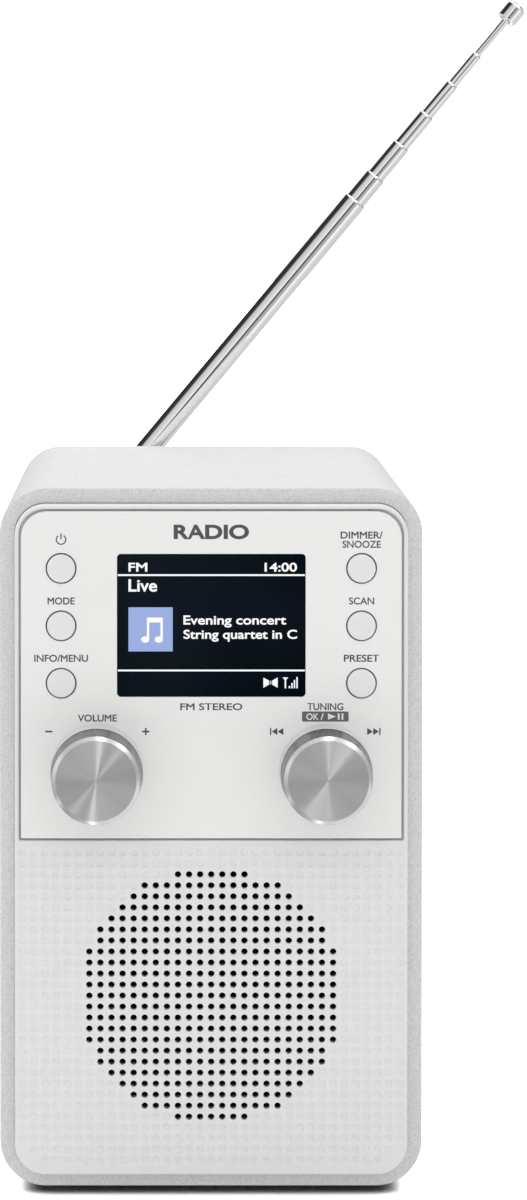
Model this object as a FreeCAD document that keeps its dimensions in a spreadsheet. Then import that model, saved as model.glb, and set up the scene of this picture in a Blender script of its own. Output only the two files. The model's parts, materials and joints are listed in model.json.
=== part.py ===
import FreeCAD, Part
import math
import os
import re
import Sketcher

# Compact tabletop radio: a textured case sleeve, a proud front frame with the speaker grille moulded in,
# an inset control plate with a colour display, six push buttons and two knobs, and a telescopic antenna
# on a swivelling, folding base behind the case.
# +X is the user's right, +Y runs from the front to the back and +Z is up. The origin is the middle of the
# base pad on the table, midway between the front and back of the case. Lengths are in millimetres.

Vector = FreeCAD.Vector

SIZES = {
    # case sleeve
    "case_width": 113.0,
    "case_height": 187.4,
    "case_depth": 105.0,
    "case_corner": 12.3,
    "case_wall": 4.0,
    "case_edge": 0.6,
    "post_inset": 5.5,
    "post_radius": 4.2,
    "post_bore": 1.9,
    "post_web_lap": 0.4,
    # base pad
    "pad_width": 98.0,
    "pad_depth": 88.0,
    "pad_corner": 8.0,
    "pad_height": 2.0,
    "pad_seat": 0.8,
    "pad_clearance": 0.15,
    "groove_width": 3.0,
    "groove_depth": 0.6,
    "groove_pitch": 14.0,
    # front frame
    "frame_clearance": 0.2,
    "frame_proud": 3.0,
    "frame_wall": 3.0,
    "frame_skirt": 2.0,
    "frame_depth": 14.0,
    "frame_edge": 0.5,
    "rim_width": 1.1,
    "pilot_radius": 1.3,
    "small_pilot": 0.9,
    "frame_boss_radius": 3.8,
    # control plate
    "plate_height": 87.2,
    "plate_gap": 0.6,
    "plate_thickness": 1.6,
    # loudspeaker grille
    "grille_rise": 52.2,
    "grille_pitch": 2.95,
    "grille_hole": 1.7,
    "grille_radius": 34.8,
    # display
    "window_width": 49.9,
    "window_height": 37.9,
    "window_corner": 0.95,
    "window_drop": 36.3,
    "window_fit": 0.1,
    "window_sunk": 0.2,
    "window_flange": 2.4,
    "window_flange_thickness": 0.8,
    "gasket_thickness": 0.8,
    "lcd_width": 58.6,
    "lcd_height": 42.7,
    "lcd_thickness": 2.5,
    "lcd_fit": 0.2,
    "lcd_tray_wall": 1.2,
    # buttons
    "button_x": 39.9,
    "button_drop": 21.1,
    "button_pitch": 15.3,
    "button_radius": 3.75,
    "button_edge": 0.35,
    "button_fit": 0.35,
    "button_proud": 0.5,
    "button_flange": 4.8,
    "button_flange_thickness": 1.0,
    "button_play": 0.1,
    "button_travel": 0.5,
    "stem_radius": 1.6,
    "stem_fit": 0.08,
    "switch_side": 6.2,
    "switch_height": 4.0,
    "switch_well": 1.45,
    # knobs
    "knob_x": 30.3,
    "knob_drop": 74.6,
    "knob_base_radius": 12.15,
    "knob_front_radius": 11.64,
    "knob_chamfer": 1.09,
    "knob_length": 7.4,
    "knob_gap": 0.65,
    "knob_wall": 1.0,
    "collar_radius": 12.2,
    "collar_wall": 2.2,
    "collar_height": 5.4,
    "collar_edge": 0.4,
    "shaft_radius": 3.0,
    "shaft_fit": 0.05,
    "shaft_flat": 1.5,
    "flat_length": 6.5,
    "shaft_tip_gap": 1.0,
    "hub_fit": 0.05,
    "hub_wall": 2.6,
    "hub_disc": 2.0,
    "hub_gap": 0.2,
    "bushing_radius": 4.4,
    "bushing_length": 4.6,
    "encoder_side": 12.4,
    "encoder_height": 5.2,
    "encoder_floor": 0.8,
    "push_travel": 0.5,
    "rotor_depth": 1.0,
    "rotor_play": 0.05,
    "rotor_radius": 4.6,
    "rotor_thickness": 1.2,
    # control board
    "board_standoff": 6.0,
    "board_thickness": 1.6,
    "board_width": 96.0,
    "board_height": 76.5,
    "board_drop": 52.65,
    "board_corner": 2.0,
    "small_head": 2.2,
    "small_head_height": 1.4,
    "small_cross_depth": 0.9,
    "small_cross_width": 0.7,
    "small_cross_length": 2.6,
    "board_screw_length": 4.5,
    "thread_play": 0.02,
    "boss_radius": 2.5,
    "boss_x": 45.5,
    "boss_low_rise": 5.5,
    # loudspeaker
    "cloth_thickness": 0.4,
    "cloth_radius": 36.2,
    "speaker_gasket": 1.0,
    "gasket_lap": 1.0,
    "speaker_radius": 42.0,
    "speaker_screw_circle": 39.4,
    "flange_thickness": 1.5,
    "surround_inner": 29.0,
    "surround_outer": 34.5,
    "coil_radius": 10.0,
    "coil_wall": 0.4,
    "coil_gap": 0.35,
    "cone_depth": 12.5,
    "cone_wall": 0.5,
    "basket_depth": 22.0,
    "basket_floor_radius": 22.0,
    "basket_wall": 1.2,
    "basket_shoulder": 1.2,
    "basket_cup": 3.0,
    "basket_hole_play": 2.0,
    "basket_window_width": 14.0,
    "basket_window_height": 10.0,
    "basket_window_reach": 6.0,
    "speaker_screw_length": 2.6,
    "surround_crest": 0.1,
    "surround_half_crest": 0.9,
    "surround_skin": 0.5,
    "surround_foot": 1.2,
    "surround_lip": 0.8,
    "surround_lip_skin": 0.6,
    "surround_play": 0.05,
    "cone_neck_play": 0.1,
    "cone_rim": 2.0,
    "cap_rise": 4.6,
    "cap_skin": 0.5,
    "cap_drop": 2.2,
    "cap_play": 0.4,
    "coil_rise": 2.0,
    "coil_play": 0.3,
    "spider_drop": 1.0,
    "spider_wave": 0.8,
    "spider_skin": 0.4,
    "spider_play": 0.1,
    "magnet_radius": 25.0,
    "magnet_thickness": 11.0,
    "magnet_hole_play": 3.0,
    "pole_plate": 3.0,
    "pole_inset": 2.0,
    # rear cover, main board and sockets
    "cover_thickness": 3.0,
    "cover_clearance": 0.2,
    "vent_width": 2.0,
    "vent_length": 30.0,
    "vent_pitch": 5.0,
    "vent_drop": 40.0,
    "vent_x": 8.0,
    "head_radius": 2.9,
    "head_height": 1.9,
    "screw_radius": 1.45,
    "screw_fit": 0.2,
    "head_sunk": 0.1,
    "thread_length": 8.0,
    "cross_depth": 1.2,
    "cross_width": 0.8,
    "cross_length": 3.4,
    "main_board_width": 84.0,
    "main_board_height": 62.0,
    "main_board_rise": 41.0,
    "main_standoff": 12.0,
    "pillar_radius": 3.0,
    "pillar_inset": 5.0,
    "pillar_floor": 1.0,
    "pillar_screw_length": 5.0,
    "shield_width": 26.0,
    "shield_height": 30.0,
    "shield_depth": 4.0,
    "shield_skin": 0.3,
    "shield_x": -14.0,
    "shield_rise": 6.0,
    "can_radius": 4.0,
    "can_length": 11.0,
    "can_x": 14.0,
    "can_rise": 18.0,
    "can_pitch_x": 10.0,
    "can_pitch_z": 12.0,
    "socket_x": 22.0,
    "socket_rise": 24.0,
    "socket_pitch": 16.0,
    "dc_bore": 2.9,
    "dc_pin": 1.0,
    "jack_bore": 1.8,
    "dc_depth": 10.0,
    "jack_depth": 12.0,
    "pin_sunk": 1.2,
    "socket_nose": 4.2,
    "socket_fit": 0.25,
    "socket_side": 10.4,
    "socket_play": 0.1,
    "nose_sunk": 0.3,
    "ribbon_width": 16.0,
    "ribbon_x": 2.0,
    "ribbon_thickness": 0.4,
    "ribbon_inset": 8.0,
    "ribbon_straight": 8.0,
    # antenna
    "antenna_x": -40.8,
    "antenna_drop": 29.4,
    "antenna_offset": 5.0,
    "antenna_lean": 39.81,
    "swivel_radius": 5.5,
    "swivel_gap": 0.2,
    "swivel_stub": 3.2,
    "swivel_fit": 0.05,
    "swivel_cheek": 1.0,
    "swivel_stub_proud": 0.3,
    "swivel_nut_wall": 2.4,
    "swivel_nut_height": 2.0,
    "tongue_width": 3.8,
    "tongue_fit": 0.08,
    "tongue_radius": 3.0,
    "tongue_play": 0.2,
    "pin_radius": 1.0,
    "pin_fit": 0.03,
    "pin_inset": 0.6,
    "knuckle_gap": 0.6,
    "mast_start": 7.0,
    "mast_length": 129.8,
    "mast_radius": 3.5,
    "tube_step": 0.425,
    "tube_fit": 0.09,
    "tube_lip": 0.12,
    "tube_lip_length": 0.5,
    "plug_depth": 6.0,
    "nest_step": 3.0,
    "cap_radius": 3.0,
    "cap_length": 6.4,
    "cap_low_chamfer": 0.8,
    "cap_high_chamfer": 1.0,
}
# Sections 2 to 6 of the antenna are tubes and section 7 is the rod. Each shows this much when extended.
ROD = 7
EXPOSED = {2: 9.8, 3: 12.4, 4: 12.3, 5: 12.4, 6: 11.9, ROD: 13.2}
SIZES.update({"exposed_%d" % number: length for number, length in EXPOSED.items()})
WORD = re.compile(r"[a-z][a-z_0-9]*")

doc = FreeCAD.newDocument("TabletopRadio")
sheet = doc.addObject("Spreadsheet::Sheet", "Sizes")
for row, (alias, size) in enumerate(SIZES.items(), start=1):
    sheet.set("A%d" % row, alias)
    sheet.set("B%d" % row, str(size))
    sheet.setAlias("B%d" % row, alias)
doc.recompute()

# Planes that many pieces share, each written once in terms of the sizes.
FRONT = "(-case_depth / 2 - frame_proud)"
WALL_BACK = "(-case_depth / 2 - frame_proud + frame_wall)"
SKIRT_BACK = "(-case_depth / 2 - frame_proud + frame_depth)"
PLATE_BACK = "(-case_depth / 2 - frame_proud + plate_thickness)"
BOARD_FRONT = "(-case_depth / 2 - frame_proud + frame_wall + board_standoff)"
BACK = "(case_depth / 2)"
COVER_FRONT = "(case_depth / 2 - cover_thickness)"
MAIN_BACK = "(case_depth / 2 - cover_thickness - main_standoff)"
CENTRE_Z = "(pad_height + case_height / 2)"
FRAME_WIDTH = "(case_width - 2 * (case_wall + frame_clearance))"
FRAME_HEIGHT = "(case_height - 2 * (case_wall + frame_clearance))"
FRAME_CORNER = "(case_corner - case_wall - frame_clearance)"
PLATE_WIDTH = "(case_width - 2 * (case_wall + frame_clearance + rim_width + plate_gap))"
PLATE_CORNER = "(case_corner - case_wall - frame_clearance - rim_width)"
PLATE_Z = ("(pad_height + case_height - case_wall - frame_clearance - rim_width - plate_gap"
           " - plate_height / 2)")
WINDOW_Z = "(pad_height + case_height - window_drop)"
KNOB_Z = "(pad_height + case_height - knob_drop)"
BOARD_Z = "(pad_height + case_height - board_drop)"
GRILLE_Z = "(pad_height + grille_rise)"
POST_X = "(case_width / 2 - case_wall - post_inset)"
POST_Z = "(case_height / 2 - case_wall - post_inset)"
MAIN_Z = "(pad_height + main_board_rise)"
SOCKET_Z = "(pad_height + socket_rise)"
ANTENNA_Z = "(pad_height + case_height - antenna_drop)"
ANTENNA_Y = "(case_depth / 2 + antenna_offset)"
LCD_FRONT = ("(-case_depth / 2 - frame_proud + plate_thickness + window_flange_thickness"
             " + gasket_thickness)")
COLLAR_FRONT = "(-case_depth / 2 - frame_proud - collar_height)"
KNOB_BACK = "(-case_depth / 2 - frame_proud - collar_height - knob_gap)"
KNOB_FRONT = "(-case_depth / 2 - frame_proud - collar_height - knob_gap - knob_length)"
ENCODER_FRONT = "(-case_depth / 2 - frame_proud + frame_wall + board_standoff - encoder_height)"
BUSHING_FRONT = ("(-case_depth / 2 - frame_proud + frame_wall + board_standoff - encoder_height"
                 " - bushing_length)")
SWITCH_FRONT = "(-case_depth / 2 - frame_proud + frame_wall + board_standoff - switch_height)"
SPEAKER_FRONT = "(-case_depth / 2 - frame_proud + frame_wall + cloth_thickness + speaker_gasket)"
BASKET_FLOOR = ("(-case_depth / 2 - frame_proud + frame_wall + cloth_thickness + speaker_gasket"
                " + basket_depth)")
CONE_BACK = ("(-case_depth / 2 - frame_proud + frame_wall + cloth_thickness + speaker_gasket"
             " + cone_depth)")
NOSE_END = "(case_depth / 2 - nose_sunk)"

VENT_ROWS = 7
TINY = 0.01
BEYOND = 1.0
DIAGONAL = math.sqrt(0.5)
PIECES = []


def value(text):
    """The number that an expression of sizes has now."""
    plain = WORD.sub(lambda word: "(%r)" % SIZES[word.group()], str(text))
    return FreeCAD.Units.parseQuantity(plain).Value


def bind(item, name, text):
    """Tie one property to an expression of sizes, through the sheet."""
    item.setExpression(name, WORD.sub(lambda word: "Sizes." + word.group(), str(text)))


def place(item, x="0", y="0", z="0"):
    """Tie an object's position to three expressions."""
    for axis, text in zip("xyz", (x, y, z)):
        bind(item, "Placement.Base." + axis, text)


def piece(item, label):
    """Name an object as one sub-part that is written out."""
    item.Label = label
    PIECES.append(item)
    return item


def new_body(label):
    """An empty PartDesign body that is one sub-part."""
    return piece(doc.addObject("PartDesign::Body", "Body_" + label), label)


def origin_plane(body, role):
    """One of a body's own three origin planes."""
    return next(plane for plane in body.Origin.OriginFeatures if plane.Role == role)


def origin_axis(body, role):
    """One of a body's own three origin axes."""
    return next(axis for axis in body.Origin.OriginFeatures if axis.Role == role)


def new_sketch(body, role="XZ_Plane", offset="0"):
    """A sketch on one of the body's planes. On XZ_Plane the offset runs towards the front."""
    sketch = body.newObject("Sketcher::SketchObject", "Sketch")
    sketch.AttachmentSupport = [(origin_plane(body, role), "")]
    sketch.MapMode = "FlatFace"
    bind(sketch, "AttachmentOffset.Base.z", offset)
    return sketch


def pin_point(sketch, index, end, x, y):
    """Hold one point of a sketch's geometry at two expressions from the sketch's origin."""
    for kind, text in (("DistanceX", x), ("DistanceY", y)):
        number = sketch.addConstraint(Sketcher.Constraint(kind, -1, 1, index, end, value(text)))
        bind(sketch, "Constraints[%d]" % number, text)


def circle(sketch, radius, x="0", y="0"):
    """A circle whose radius and centre are expressions."""
    centre = Vector(value(x), value(y), 0)
    index = sketch.addGeometry(Part.Circle(centre, Vector(0, 0, 1), value(radius)), False)
    number = sketch.addConstraint(Sketcher.Constraint("Radius", index, value(radius)))
    bind(sketch, "Constraints[%d]" % number, radius)
    pin_point(sketch, index, 3, x, y)


def outline(sketch, points):
    """A closed run of straight lines through points given as pairs of expressions."""
    ends = [Vector(value(x), value(y), 0) for x, y in points]
    count = len(ends)
    first = sketch.GeometryCount
    for step in range(count):
        sketch.addGeometry(Part.LineSegment(ends[step], ends[(step + 1) % count]), False)
    for step in range(count):
        following = first + (step + 1) % count
        sketch.addConstraint(Sketcher.Constraint("Coincident", first + step, 2, following, 1))
        pin_point(sketch, first + step, 1, *points[step])


def rectangle(sketch, width, height, x="0", y="0"):
    """A rectangle about a centre."""
    left, right = "%s - (%s) / 2" % (x, width), "%s + (%s) / 2" % (x, width)
    low, high = "%s - (%s) / 2" % (y, height), "%s + (%s) / 2" % (y, height)
    outline(sketch, [(left, low), (right, low), (right, high), (left, high)])


def rounded(sketch, width, height, radius, x="0", y="0"):
    """A rectangle with round corners about a centre."""
    half_w, half_h, corner = value(width) / 2, value(height) / 2, value(radius)
    mid_x, mid_y = value(x), value(y)
    first = sketch.GeometryCount
    signs = ((1, -1), (1, 1), (-1, 1), (-1, -1))
    centres = [Vector(mid_x + sx * (half_w - corner), mid_y + sy * (half_h - corner), 0)
               for sx, sy in signs]
    up = Vector(0, 0, 1)
    for turn, centre in enumerate(centres):
        start, stop = math.radians(90 * turn - 90), math.radians(90 * turn)
        ring = Part.Circle(centre, up, corner)
        sketch.addGeometry(Part.ArcOfCircle(ring, start, stop), False)
    for turn in range(4):
        arc, following = first + turn, first + (turn + 1) % 4
        here = sketch.Geometry[arc].EndPoint
        there = sketch.Geometry[following].StartPoint
        side = sketch.addGeometry(Part.LineSegment(here, there), False)
        sketch.addConstraint(Sketcher.Constraint("Tangent", arc, 2, side, 1))
        sketch.addConstraint(Sketcher.Constraint("Tangent", side, 2, following, 1))
        if turn:
            sketch.addConstraint(Sketcher.Constraint("Equal", first, arc))
    number = sketch.addConstraint(Sketcher.Constraint("Radius", first, corner))
    bind(sketch, "Constraints[%d]" % number, radius)
    pin_point(sketch, first, 3, "%s + (%s) / 2 - (%s)" % (x, width, radius),
              "%s - (%s) / 2 + (%s)" % (y, height, radius))
    pin_point(sketch, first + 2, 3, "%s - (%s) / 2 + (%s)" % (x, width, radius),
              "%s + (%s) / 2 - (%s)" % (y, height, radius))
    sketch.addConstraint(Sketcher.Constraint("Vertical", first + 4))
    sketch.addConstraint(Sketcher.Constraint("Horizontal", first + 5))


def pad(body, sketch, length, backwards=False):
    """Add material. From a sketch on XZ_Plane it grows to the front, or backwards to the back."""
    feature = body.newObject("PartDesign::Pad", "Pad")
    feature.Profile = sketch
    feature.Reversed = backwards
    bind(feature, "Length", length)
    return feature


def pocket(body, sketch, depth, forwards=False):
    """Remove material. From a sketch on XZ_Plane it cuts to the back, or forwards to the front."""
    feature = body.newObject("PartDesign::Pocket", "Pocket")
    feature.Profile = sketch
    feature.Reversed = forwards
    bind(feature, "Length", depth)
    return feature


def turned(label, points, x="0", y="0", z="0"):
    """A round body: an outline of (radius, place along Y) pairs turned about the Y axis."""
    body = new_body(label)
    sketch = new_sketch(body, "XY_Plane")
    outline(sketch, points)
    feature = body.newObject("PartDesign::Revolution", "Revolution")
    feature.Profile = sketch
    feature.ReferenceAxis = (sketch, ["V_Axis"])
    feature.Angle = 360
    place(body, x, y, z)
    return body


def tube_outline(inner, outer, low, high):
    """The outline of a plain ring, or of a disc where the inner radius is 0."""
    return [(inner, low), (outer, low), (outer, high), (inner, high)]


def rod(radius, low, high, x="0", z="0"):
    """A Part cylinder along Y between two places."""
    item = doc.addObject("Part::Cylinder", "Rod")
    item.Placement = FreeCAD.Placement(Vector(), FreeCAD.Rotation(Vector(0, 0, 1), Vector(0, 1, 0)))
    bind(item, "Radius", radius)
    bind(item, "Height", "%s - (%s)" % (high, low))
    place(item, x, low, z)
    return item


def block(width, low, high, height, x="0", z="0"):
    """A Part box between two places along Y, about a centre in X and Z."""
    item = doc.addObject("Part::Box", "Block")
    bind(item, "Length", width)
    bind(item, "Width", "%s - (%s)" % (high, low))
    bind(item, "Height", height)
    place(item, "%s - (%s) / 2" % (x, width), low, "%s - (%s) / 2" % (z, height))
    return item


def joined(items):
    """Fuse Part objects into one solid."""
    item = doc.addObject("Part::MultiFuse", "Joined")
    item.Shapes = items
    return item


def less(base, tools):
    """Cut one or more Part objects from another."""
    item = doc.addObject("Part::Cut", "Less")
    item.Base = base
    item.Tool = tools[0] if len(tools) == 1 else joined(tools)
    return item


def group(items, label):
    """Separate solids of one kind that share a node."""
    item = doc.addObject("Part::Compound", "Group_" + label)
    item.Links = items
    return piece(item, label)


def corner_places():
    """The four long screws' centres."""
    return [(side + POST_X, "%s + %s%s" % (CENTRE_Z, level, POST_Z))
            for side in ("-", "") for level in ("-", "")]


def board_places():
    """The control board's four screws: one pair between the button rows, one pair below the knobs."""
    high = "(pad_height + case_height - button_drop - button_pitch / 2)"
    low = "(%s - board_height / 2 + boss_low_rise)" % BOARD_Z
    return [(x, z) for x in ("-boss_x", "boss_x") for z in (low, high)]


def speaker_places():
    """The loudspeaker's four screws, on its diagonals."""
    reach = "speaker_screw_circle * %.8f" % DIAGONAL
    return [(side + reach, "%s + %s%s" % (GRILLE_Z, level, reach))
            for side in ("-", "") for level in ("-", "")]


def button_rows():
    """Heights of the three button rows, from the top."""
    return ["(pad_height + case_height - button_drop - %d * button_pitch)" % row for row in range(3)]


def make_case_shell():
    """The sleeve: a rounded tube open at both ends, with a screw post in each corner and a pad seat."""
    body = new_body("case_shell")
    sketch = new_sketch(body, offset="case_depth / 2")
    rounded(sketch, "case_width", "case_height", "case_corner", y=CENTRE_Z)
    sleeve = pad(body, sketch, "case_depth", backwards=True)
    doc.recompute()
    rims = ["Edge%d" % number for number, edge in enumerate(sleeve.Shape.Edges, start=1)
            if abs(abs(edge.CenterOfMass.y) - value("case_depth / 2")) < TINY]
    fillet = body.newObject("PartDesign::Fillet", "Fillet")
    fillet.Base = (sleeve, rims)
    bind(fillet, "Radius", "case_edge")
    cavity = new_sketch(body, offset="case_depth / 2")
    rounded(cavity, "case_width - 2 * case_wall", "case_height - 2 * case_wall",
            "case_corner - case_wall", y=CENTRE_Z)
    pocket(body, cavity, "case_depth")
    posts = new_sketch(body, offset="-" + SKIRT_BACK)
    for x, z in corner_places():
        circle(posts, "post_radius", x, z)
    pad(body, posts, "%s - %s" % (COVER_FRONT, SKIRT_BACK), backwards=True)
    for side in ("-", ""):
        for level in ("-", ""):
            web = new_sketch(body, offset="-" + SKIRT_BACK)
            x = "%s(%s + post_inset / 2)" % (side, POST_X)
            z = "%s + %s(%s + post_inset / 2)" % (CENTRE_Z, level, POST_Z)
            rectangle(web, "post_inset + post_web_lap", "post_inset + post_web_lap", x, z)
            pad(body, web, "%s - %s" % (COVER_FRONT, SKIRT_BACK), backwards=True)
    bores = new_sketch(body, offset="-" + SKIRT_BACK)
    for x, z in corner_places():
        circle(bores, "post_bore", x, z)
    pocket(body, bores, "%s - %s" % (COVER_FRONT, SKIRT_BACK))
    seat = new_sketch(body, "XY_Plane", "pad_height + pad_seat")
    rounded(seat, "pad_width + 2 * pad_clearance", "pad_depth + 2 * pad_clearance",
            "pad_corner + pad_clearance")
    pocket(body, seat, "pad_seat")


def make_base_pad():
    """The rubber foot: one slab let into the underside, with shallow grooves across it."""
    body = new_body("base_pad")
    slab = new_sketch(body, "XY_Plane")
    rounded(slab, "pad_width", "pad_depth", "pad_corner")
    pad(body, slab, "pad_height + pad_seat")
    grooves = new_sketch(body, "XY_Plane")
    for step in (-2, -1, 1, 2):
        rectangle(grooves, "pad_width - 4 * pad_corner", "groove_width", y="%d * groove_pitch" % step)
    pocket(body, grooves, "groove_depth", forwards=True)


def grille_points():
    """Centres of the sound holes: a square grid clipped to a circle."""
    pitch, reach = SIZES["grille_pitch"], SIZES["grille_radius"]
    count = int(reach / pitch)
    span = range(-count, count + 1)
    return [(column * pitch, level * pitch) for column in span for level in span
            if math.hypot(column * pitch, level * pitch) <= reach]


def make_front_frame():
    """The front frame and grille in one moulding.

    The sound holes are wires of one face that is extruded once, because cutting hundreds of holes one
    by one is far slower, so the shape is set here in code from the same sizes.
    """
    front, back = value(FRONT), value(WALL_BACK)
    width, height, corner = value(FRAME_WIDTH), value(FRAME_HEIGHT), value(FRAME_CORNER)
    middle = value(CENTRE_Z)

    def slab(size_x, size_z, radius, low, high, mid_z):
        """A block between two places along Y whose corners are rounded about Y."""
        solid = Part.makeBox(size_x, high - low, size_z, Vector(-size_x / 2, low, mid_z - size_z / 2))
        upright = [edge for edge in solid.Edges if abs(edge.tangentAt(edge.FirstParameter).y) > 0.9]
        return solid.makeFillet(radius, upright) if radius > 0 else solid

    outer = slab(width, height, corner, front, back, middle)
    rim = [edge for edge in outer.Edges if edge.BoundBox.YMax < front + TINY]
    outer = outer.makeFillet(SIZES["frame_edge"], rim)
    inset = SIZES["frame_edge"] + SIZES["rim_width"]
    core = slab(width - 2 * inset, height - 2 * inset, corner - inset, front, back, middle)
    border = outer.cut(core)

    face_edge = next(face for face in core.Faces if face.BoundBox.YMax < front + TINY)
    towards_back = Vector(0, 1, 0)
    holes = [Part.makeCircle(SIZES["grille_hole"] / 2, Vector(x, front, value(GRILLE_Z) + z),
                             towards_back) for x, z in grille_points()]
    for x in ("-button_x", "button_x"):
        for z in button_rows():
            centre = Vector(value(x), front, value(z))
            holes.append(Part.makeCircle(value("button_radius + button_fit"), centre, towards_back))
    for x in ("-knob_x", "knob_x"):
        centre = Vector(value(x), front, value(KNOB_Z))
        holes.append(Part.makeCircle(value("bushing_radius + socket_fit"), centre, towards_back))
    wires = [face_edge.OuterWire] + [Part.Wire(ring) for ring in holes]
    sheet_face = Part.makeFace(wires, "Part::FaceMakerBullseye")
    wall = sheet_face.extrude(Vector(0, back - front, 0))

    recess_low = value("%s - plate_height / 2 - plate_gap" % PLATE_Z)
    recess_high = value("%s + plate_height / 2 + plate_gap" % PLATE_Z)
    recess_width = value("%s + 2 * plate_gap" % PLATE_WIDTH)
    depth = SIZES["plate_thickness"]
    recess = slab(recess_width, recess_high - recess_low, value(PLATE_CORNER), front - BEYOND,
                  front + depth, (recess_low + recess_high) / 2)
    square_foot = Part.makeBox(recess_width, depth + BEYOND, value(PLATE_CORNER),
                               Vector(-recess_width / 2, front - BEYOND, recess_low))
    opening_fit = value("2 * (window_flange + window_fit)")
    opening = slab(value("window_width") + opening_fit, value("window_height") + opening_fit, 0,
                   front - BEYOND, back + BEYOND, value(WINDOW_Z))
    recess = recess.fuse(square_foot).fuse(opening)

    skirt = slab(width, height, corner, back, value(SKIRT_BACK), middle)
    hollow = 2 * SIZES["frame_skirt"]
    skirt = skirt.cut(slab(width - hollow, height - hollow, corner - SIZES["frame_skirt"],
                           back - BEYOND, value(SKIRT_BACK) + BEYOND, middle))
    bosses = []
    stand = [(corner_places(), "frame_boss_radius", value(SKIRT_BACK), "pilot_radius"),
             (board_places(), "boss_radius", value(BOARD_FRONT), "small_pilot"),
             (speaker_places(), "boss_radius", value(SPEAKER_FRONT), "small_pilot")]
    pilots = []
    for places, radius, end, bore in stand:
        for x, z in places:
            centre = Vector(value(x), back, value(z))
            bosses.append(Part.makeCylinder(value(radius), end - back, centre, towards_back))
            deep = Vector(centre.x, back - BEYOND, centre.z)
            length = end - back + 2 * BEYOND
            pilots.append(Part.makeCylinder(value(bore), length, deep, towards_back))
    inner = skirt.fuse(bosses)
    shape = border.fuse(wall).cut(recess).fuse(inner).cut(pilots)
    item = doc.addObject("Part::Feature", "FrontFrame")
    item.Shape = shape.Solids[0]
    piece(item, "front_frame")


def make_control_plate():
    """The glossy plate let into the upper front: window, button and knob holes."""
    body = new_body("control_plate")
    sketch = new_sketch(body, offset="-" + FRONT)
    rounded(sketch, PLATE_WIDTH, "plate_height", PLATE_CORNER, y=PLATE_Z)
    pad(body, sketch, "plate_thickness", backwards=True)
    foot = new_sketch(body, offset="-" + FRONT)
    rectangle(foot, PLATE_WIDTH, PLATE_CORNER,
              y="(%s - plate_height / 2 + %s / 2)" % (PLATE_Z, PLATE_CORNER))
    pad(body, foot, "plate_thickness", backwards=True)
    holes = new_sketch(body, offset="-" + FRONT)
    rounded(holes, "window_width + 2 * window_fit", "window_height + 2 * window_fit",
            "window_corner + window_fit", y=WINDOW_Z)
    for x in ("-button_x", "button_x"):
        for z in button_rows():
            circle(holes, "button_radius + button_fit", x, z)
        circle(holes, "bushing_radius + socket_fit", x.replace("button", "knob"), KNOB_Z)
    pocket(body, holes, "plate_thickness")


def make_display():
    """Window, gasket, panel and tray, one behind the other."""
    body = new_body("display_window")
    lens_back = PLATE_BACK
    sketch = new_sketch(body, offset="-(%s + window_sunk)" % FRONT)
    rounded(sketch, "window_width", "window_height", "window_corner", y=WINDOW_Z)
    pad(body, sketch, "plate_thickness - window_sunk", backwards=True)
    flange = new_sketch(body, offset="-" + lens_back)
    rectangle(flange, "window_width + 2 * window_flange", "window_height + 2 * window_flange",
              y=WINDOW_Z)
    pad(body, flange, "window_flange_thickness", backwards=True)

    body = new_body("display_gasket")
    sketch = new_sketch(body, offset="-(%s - gasket_thickness)" % LCD_FRONT)
    rectangle(sketch, "window_width + 2 * window_flange", "window_height + 2 * window_flange",
              y=WINDOW_Z)
    rectangle(sketch, "window_width", "window_height", y=WINDOW_Z)
    pad(body, sketch, "gasket_thickness", backwards=True)

    body = new_body("lcd_panel")
    sketch = new_sketch(body, offset="-" + LCD_FRONT)
    rectangle(sketch, "lcd_width", "lcd_height", y=WINDOW_Z)
    pad(body, sketch, "lcd_thickness", backwards=True)

    body = new_body("lcd_tray")
    lip = "lcd_thickness / 2"
    sketch = new_sketch(body, offset="-(%s + %s)" % (LCD_FRONT, lip))
    around = "2 * (lcd_fit + lcd_tray_wall)"
    rectangle(sketch, "lcd_width + " + around, "lcd_height + " + around, y=WINDOW_Z)
    pad(body, sketch, "%s - %s - %s" % (BOARD_FRONT, LCD_FRONT, lip), backwards=True)
    well = new_sketch(body, offset="-(%s + %s)" % (LCD_FRONT, lip))
    rectangle(well, "lcd_width + 2 * lcd_fit", "lcd_height + 2 * lcd_fit", y=WINDOW_Z)
    pocket(body, well, "lcd_thickness - " + lip)


def make_buttons():
    """Six buttons: a round cap with a retaining flange behind the frame and a stem to its switch."""
    names = {"-button_x": ("power_button", "mode_button", "menu_button"),
             "button_x": ("snooze_button", "scan_button", "preset_button")}
    face = "(%s - button_proud)" % FRONT
    flange = "(%s + button_play)" % WALL_BACK
    flange_back = "(%s + button_flange_thickness)" % flange
    stem_end = "(%s + button_travel + button_play)" % SWITCH_FRONT
    profile = [("0", face), ("button_radius - button_edge", face),
               ("button_radius", "%s + button_edge" % face), ("button_radius", flange),
               ("button_flange", flange), ("button_flange", flange_back),
               ("stem_radius", flange_back), ("stem_radius", stem_end), ("0", stem_end)]
    for x, labels in names.items():
        for label, z in zip(labels, button_rows()):
            turned(label, profile, x=x, z=z)


def make_switches():
    """The six switch bodies on the control board, each with a well for its button's stem."""
    bodies = []
    for x in ("-button_x", "button_x"):
        for z in button_rows():
            case = block("switch_side", SWITCH_FRONT, BOARD_FRONT, "switch_side", x, z)
            well = rod("stem_radius + stem_fit", "(%s - 1)" % SWITCH_FRONT,
                       "(%s + switch_well)" % SWITCH_FRONT, x, z)
            bodies.append(less(case, [well]))
    group(bodies, "push_switches")


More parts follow.
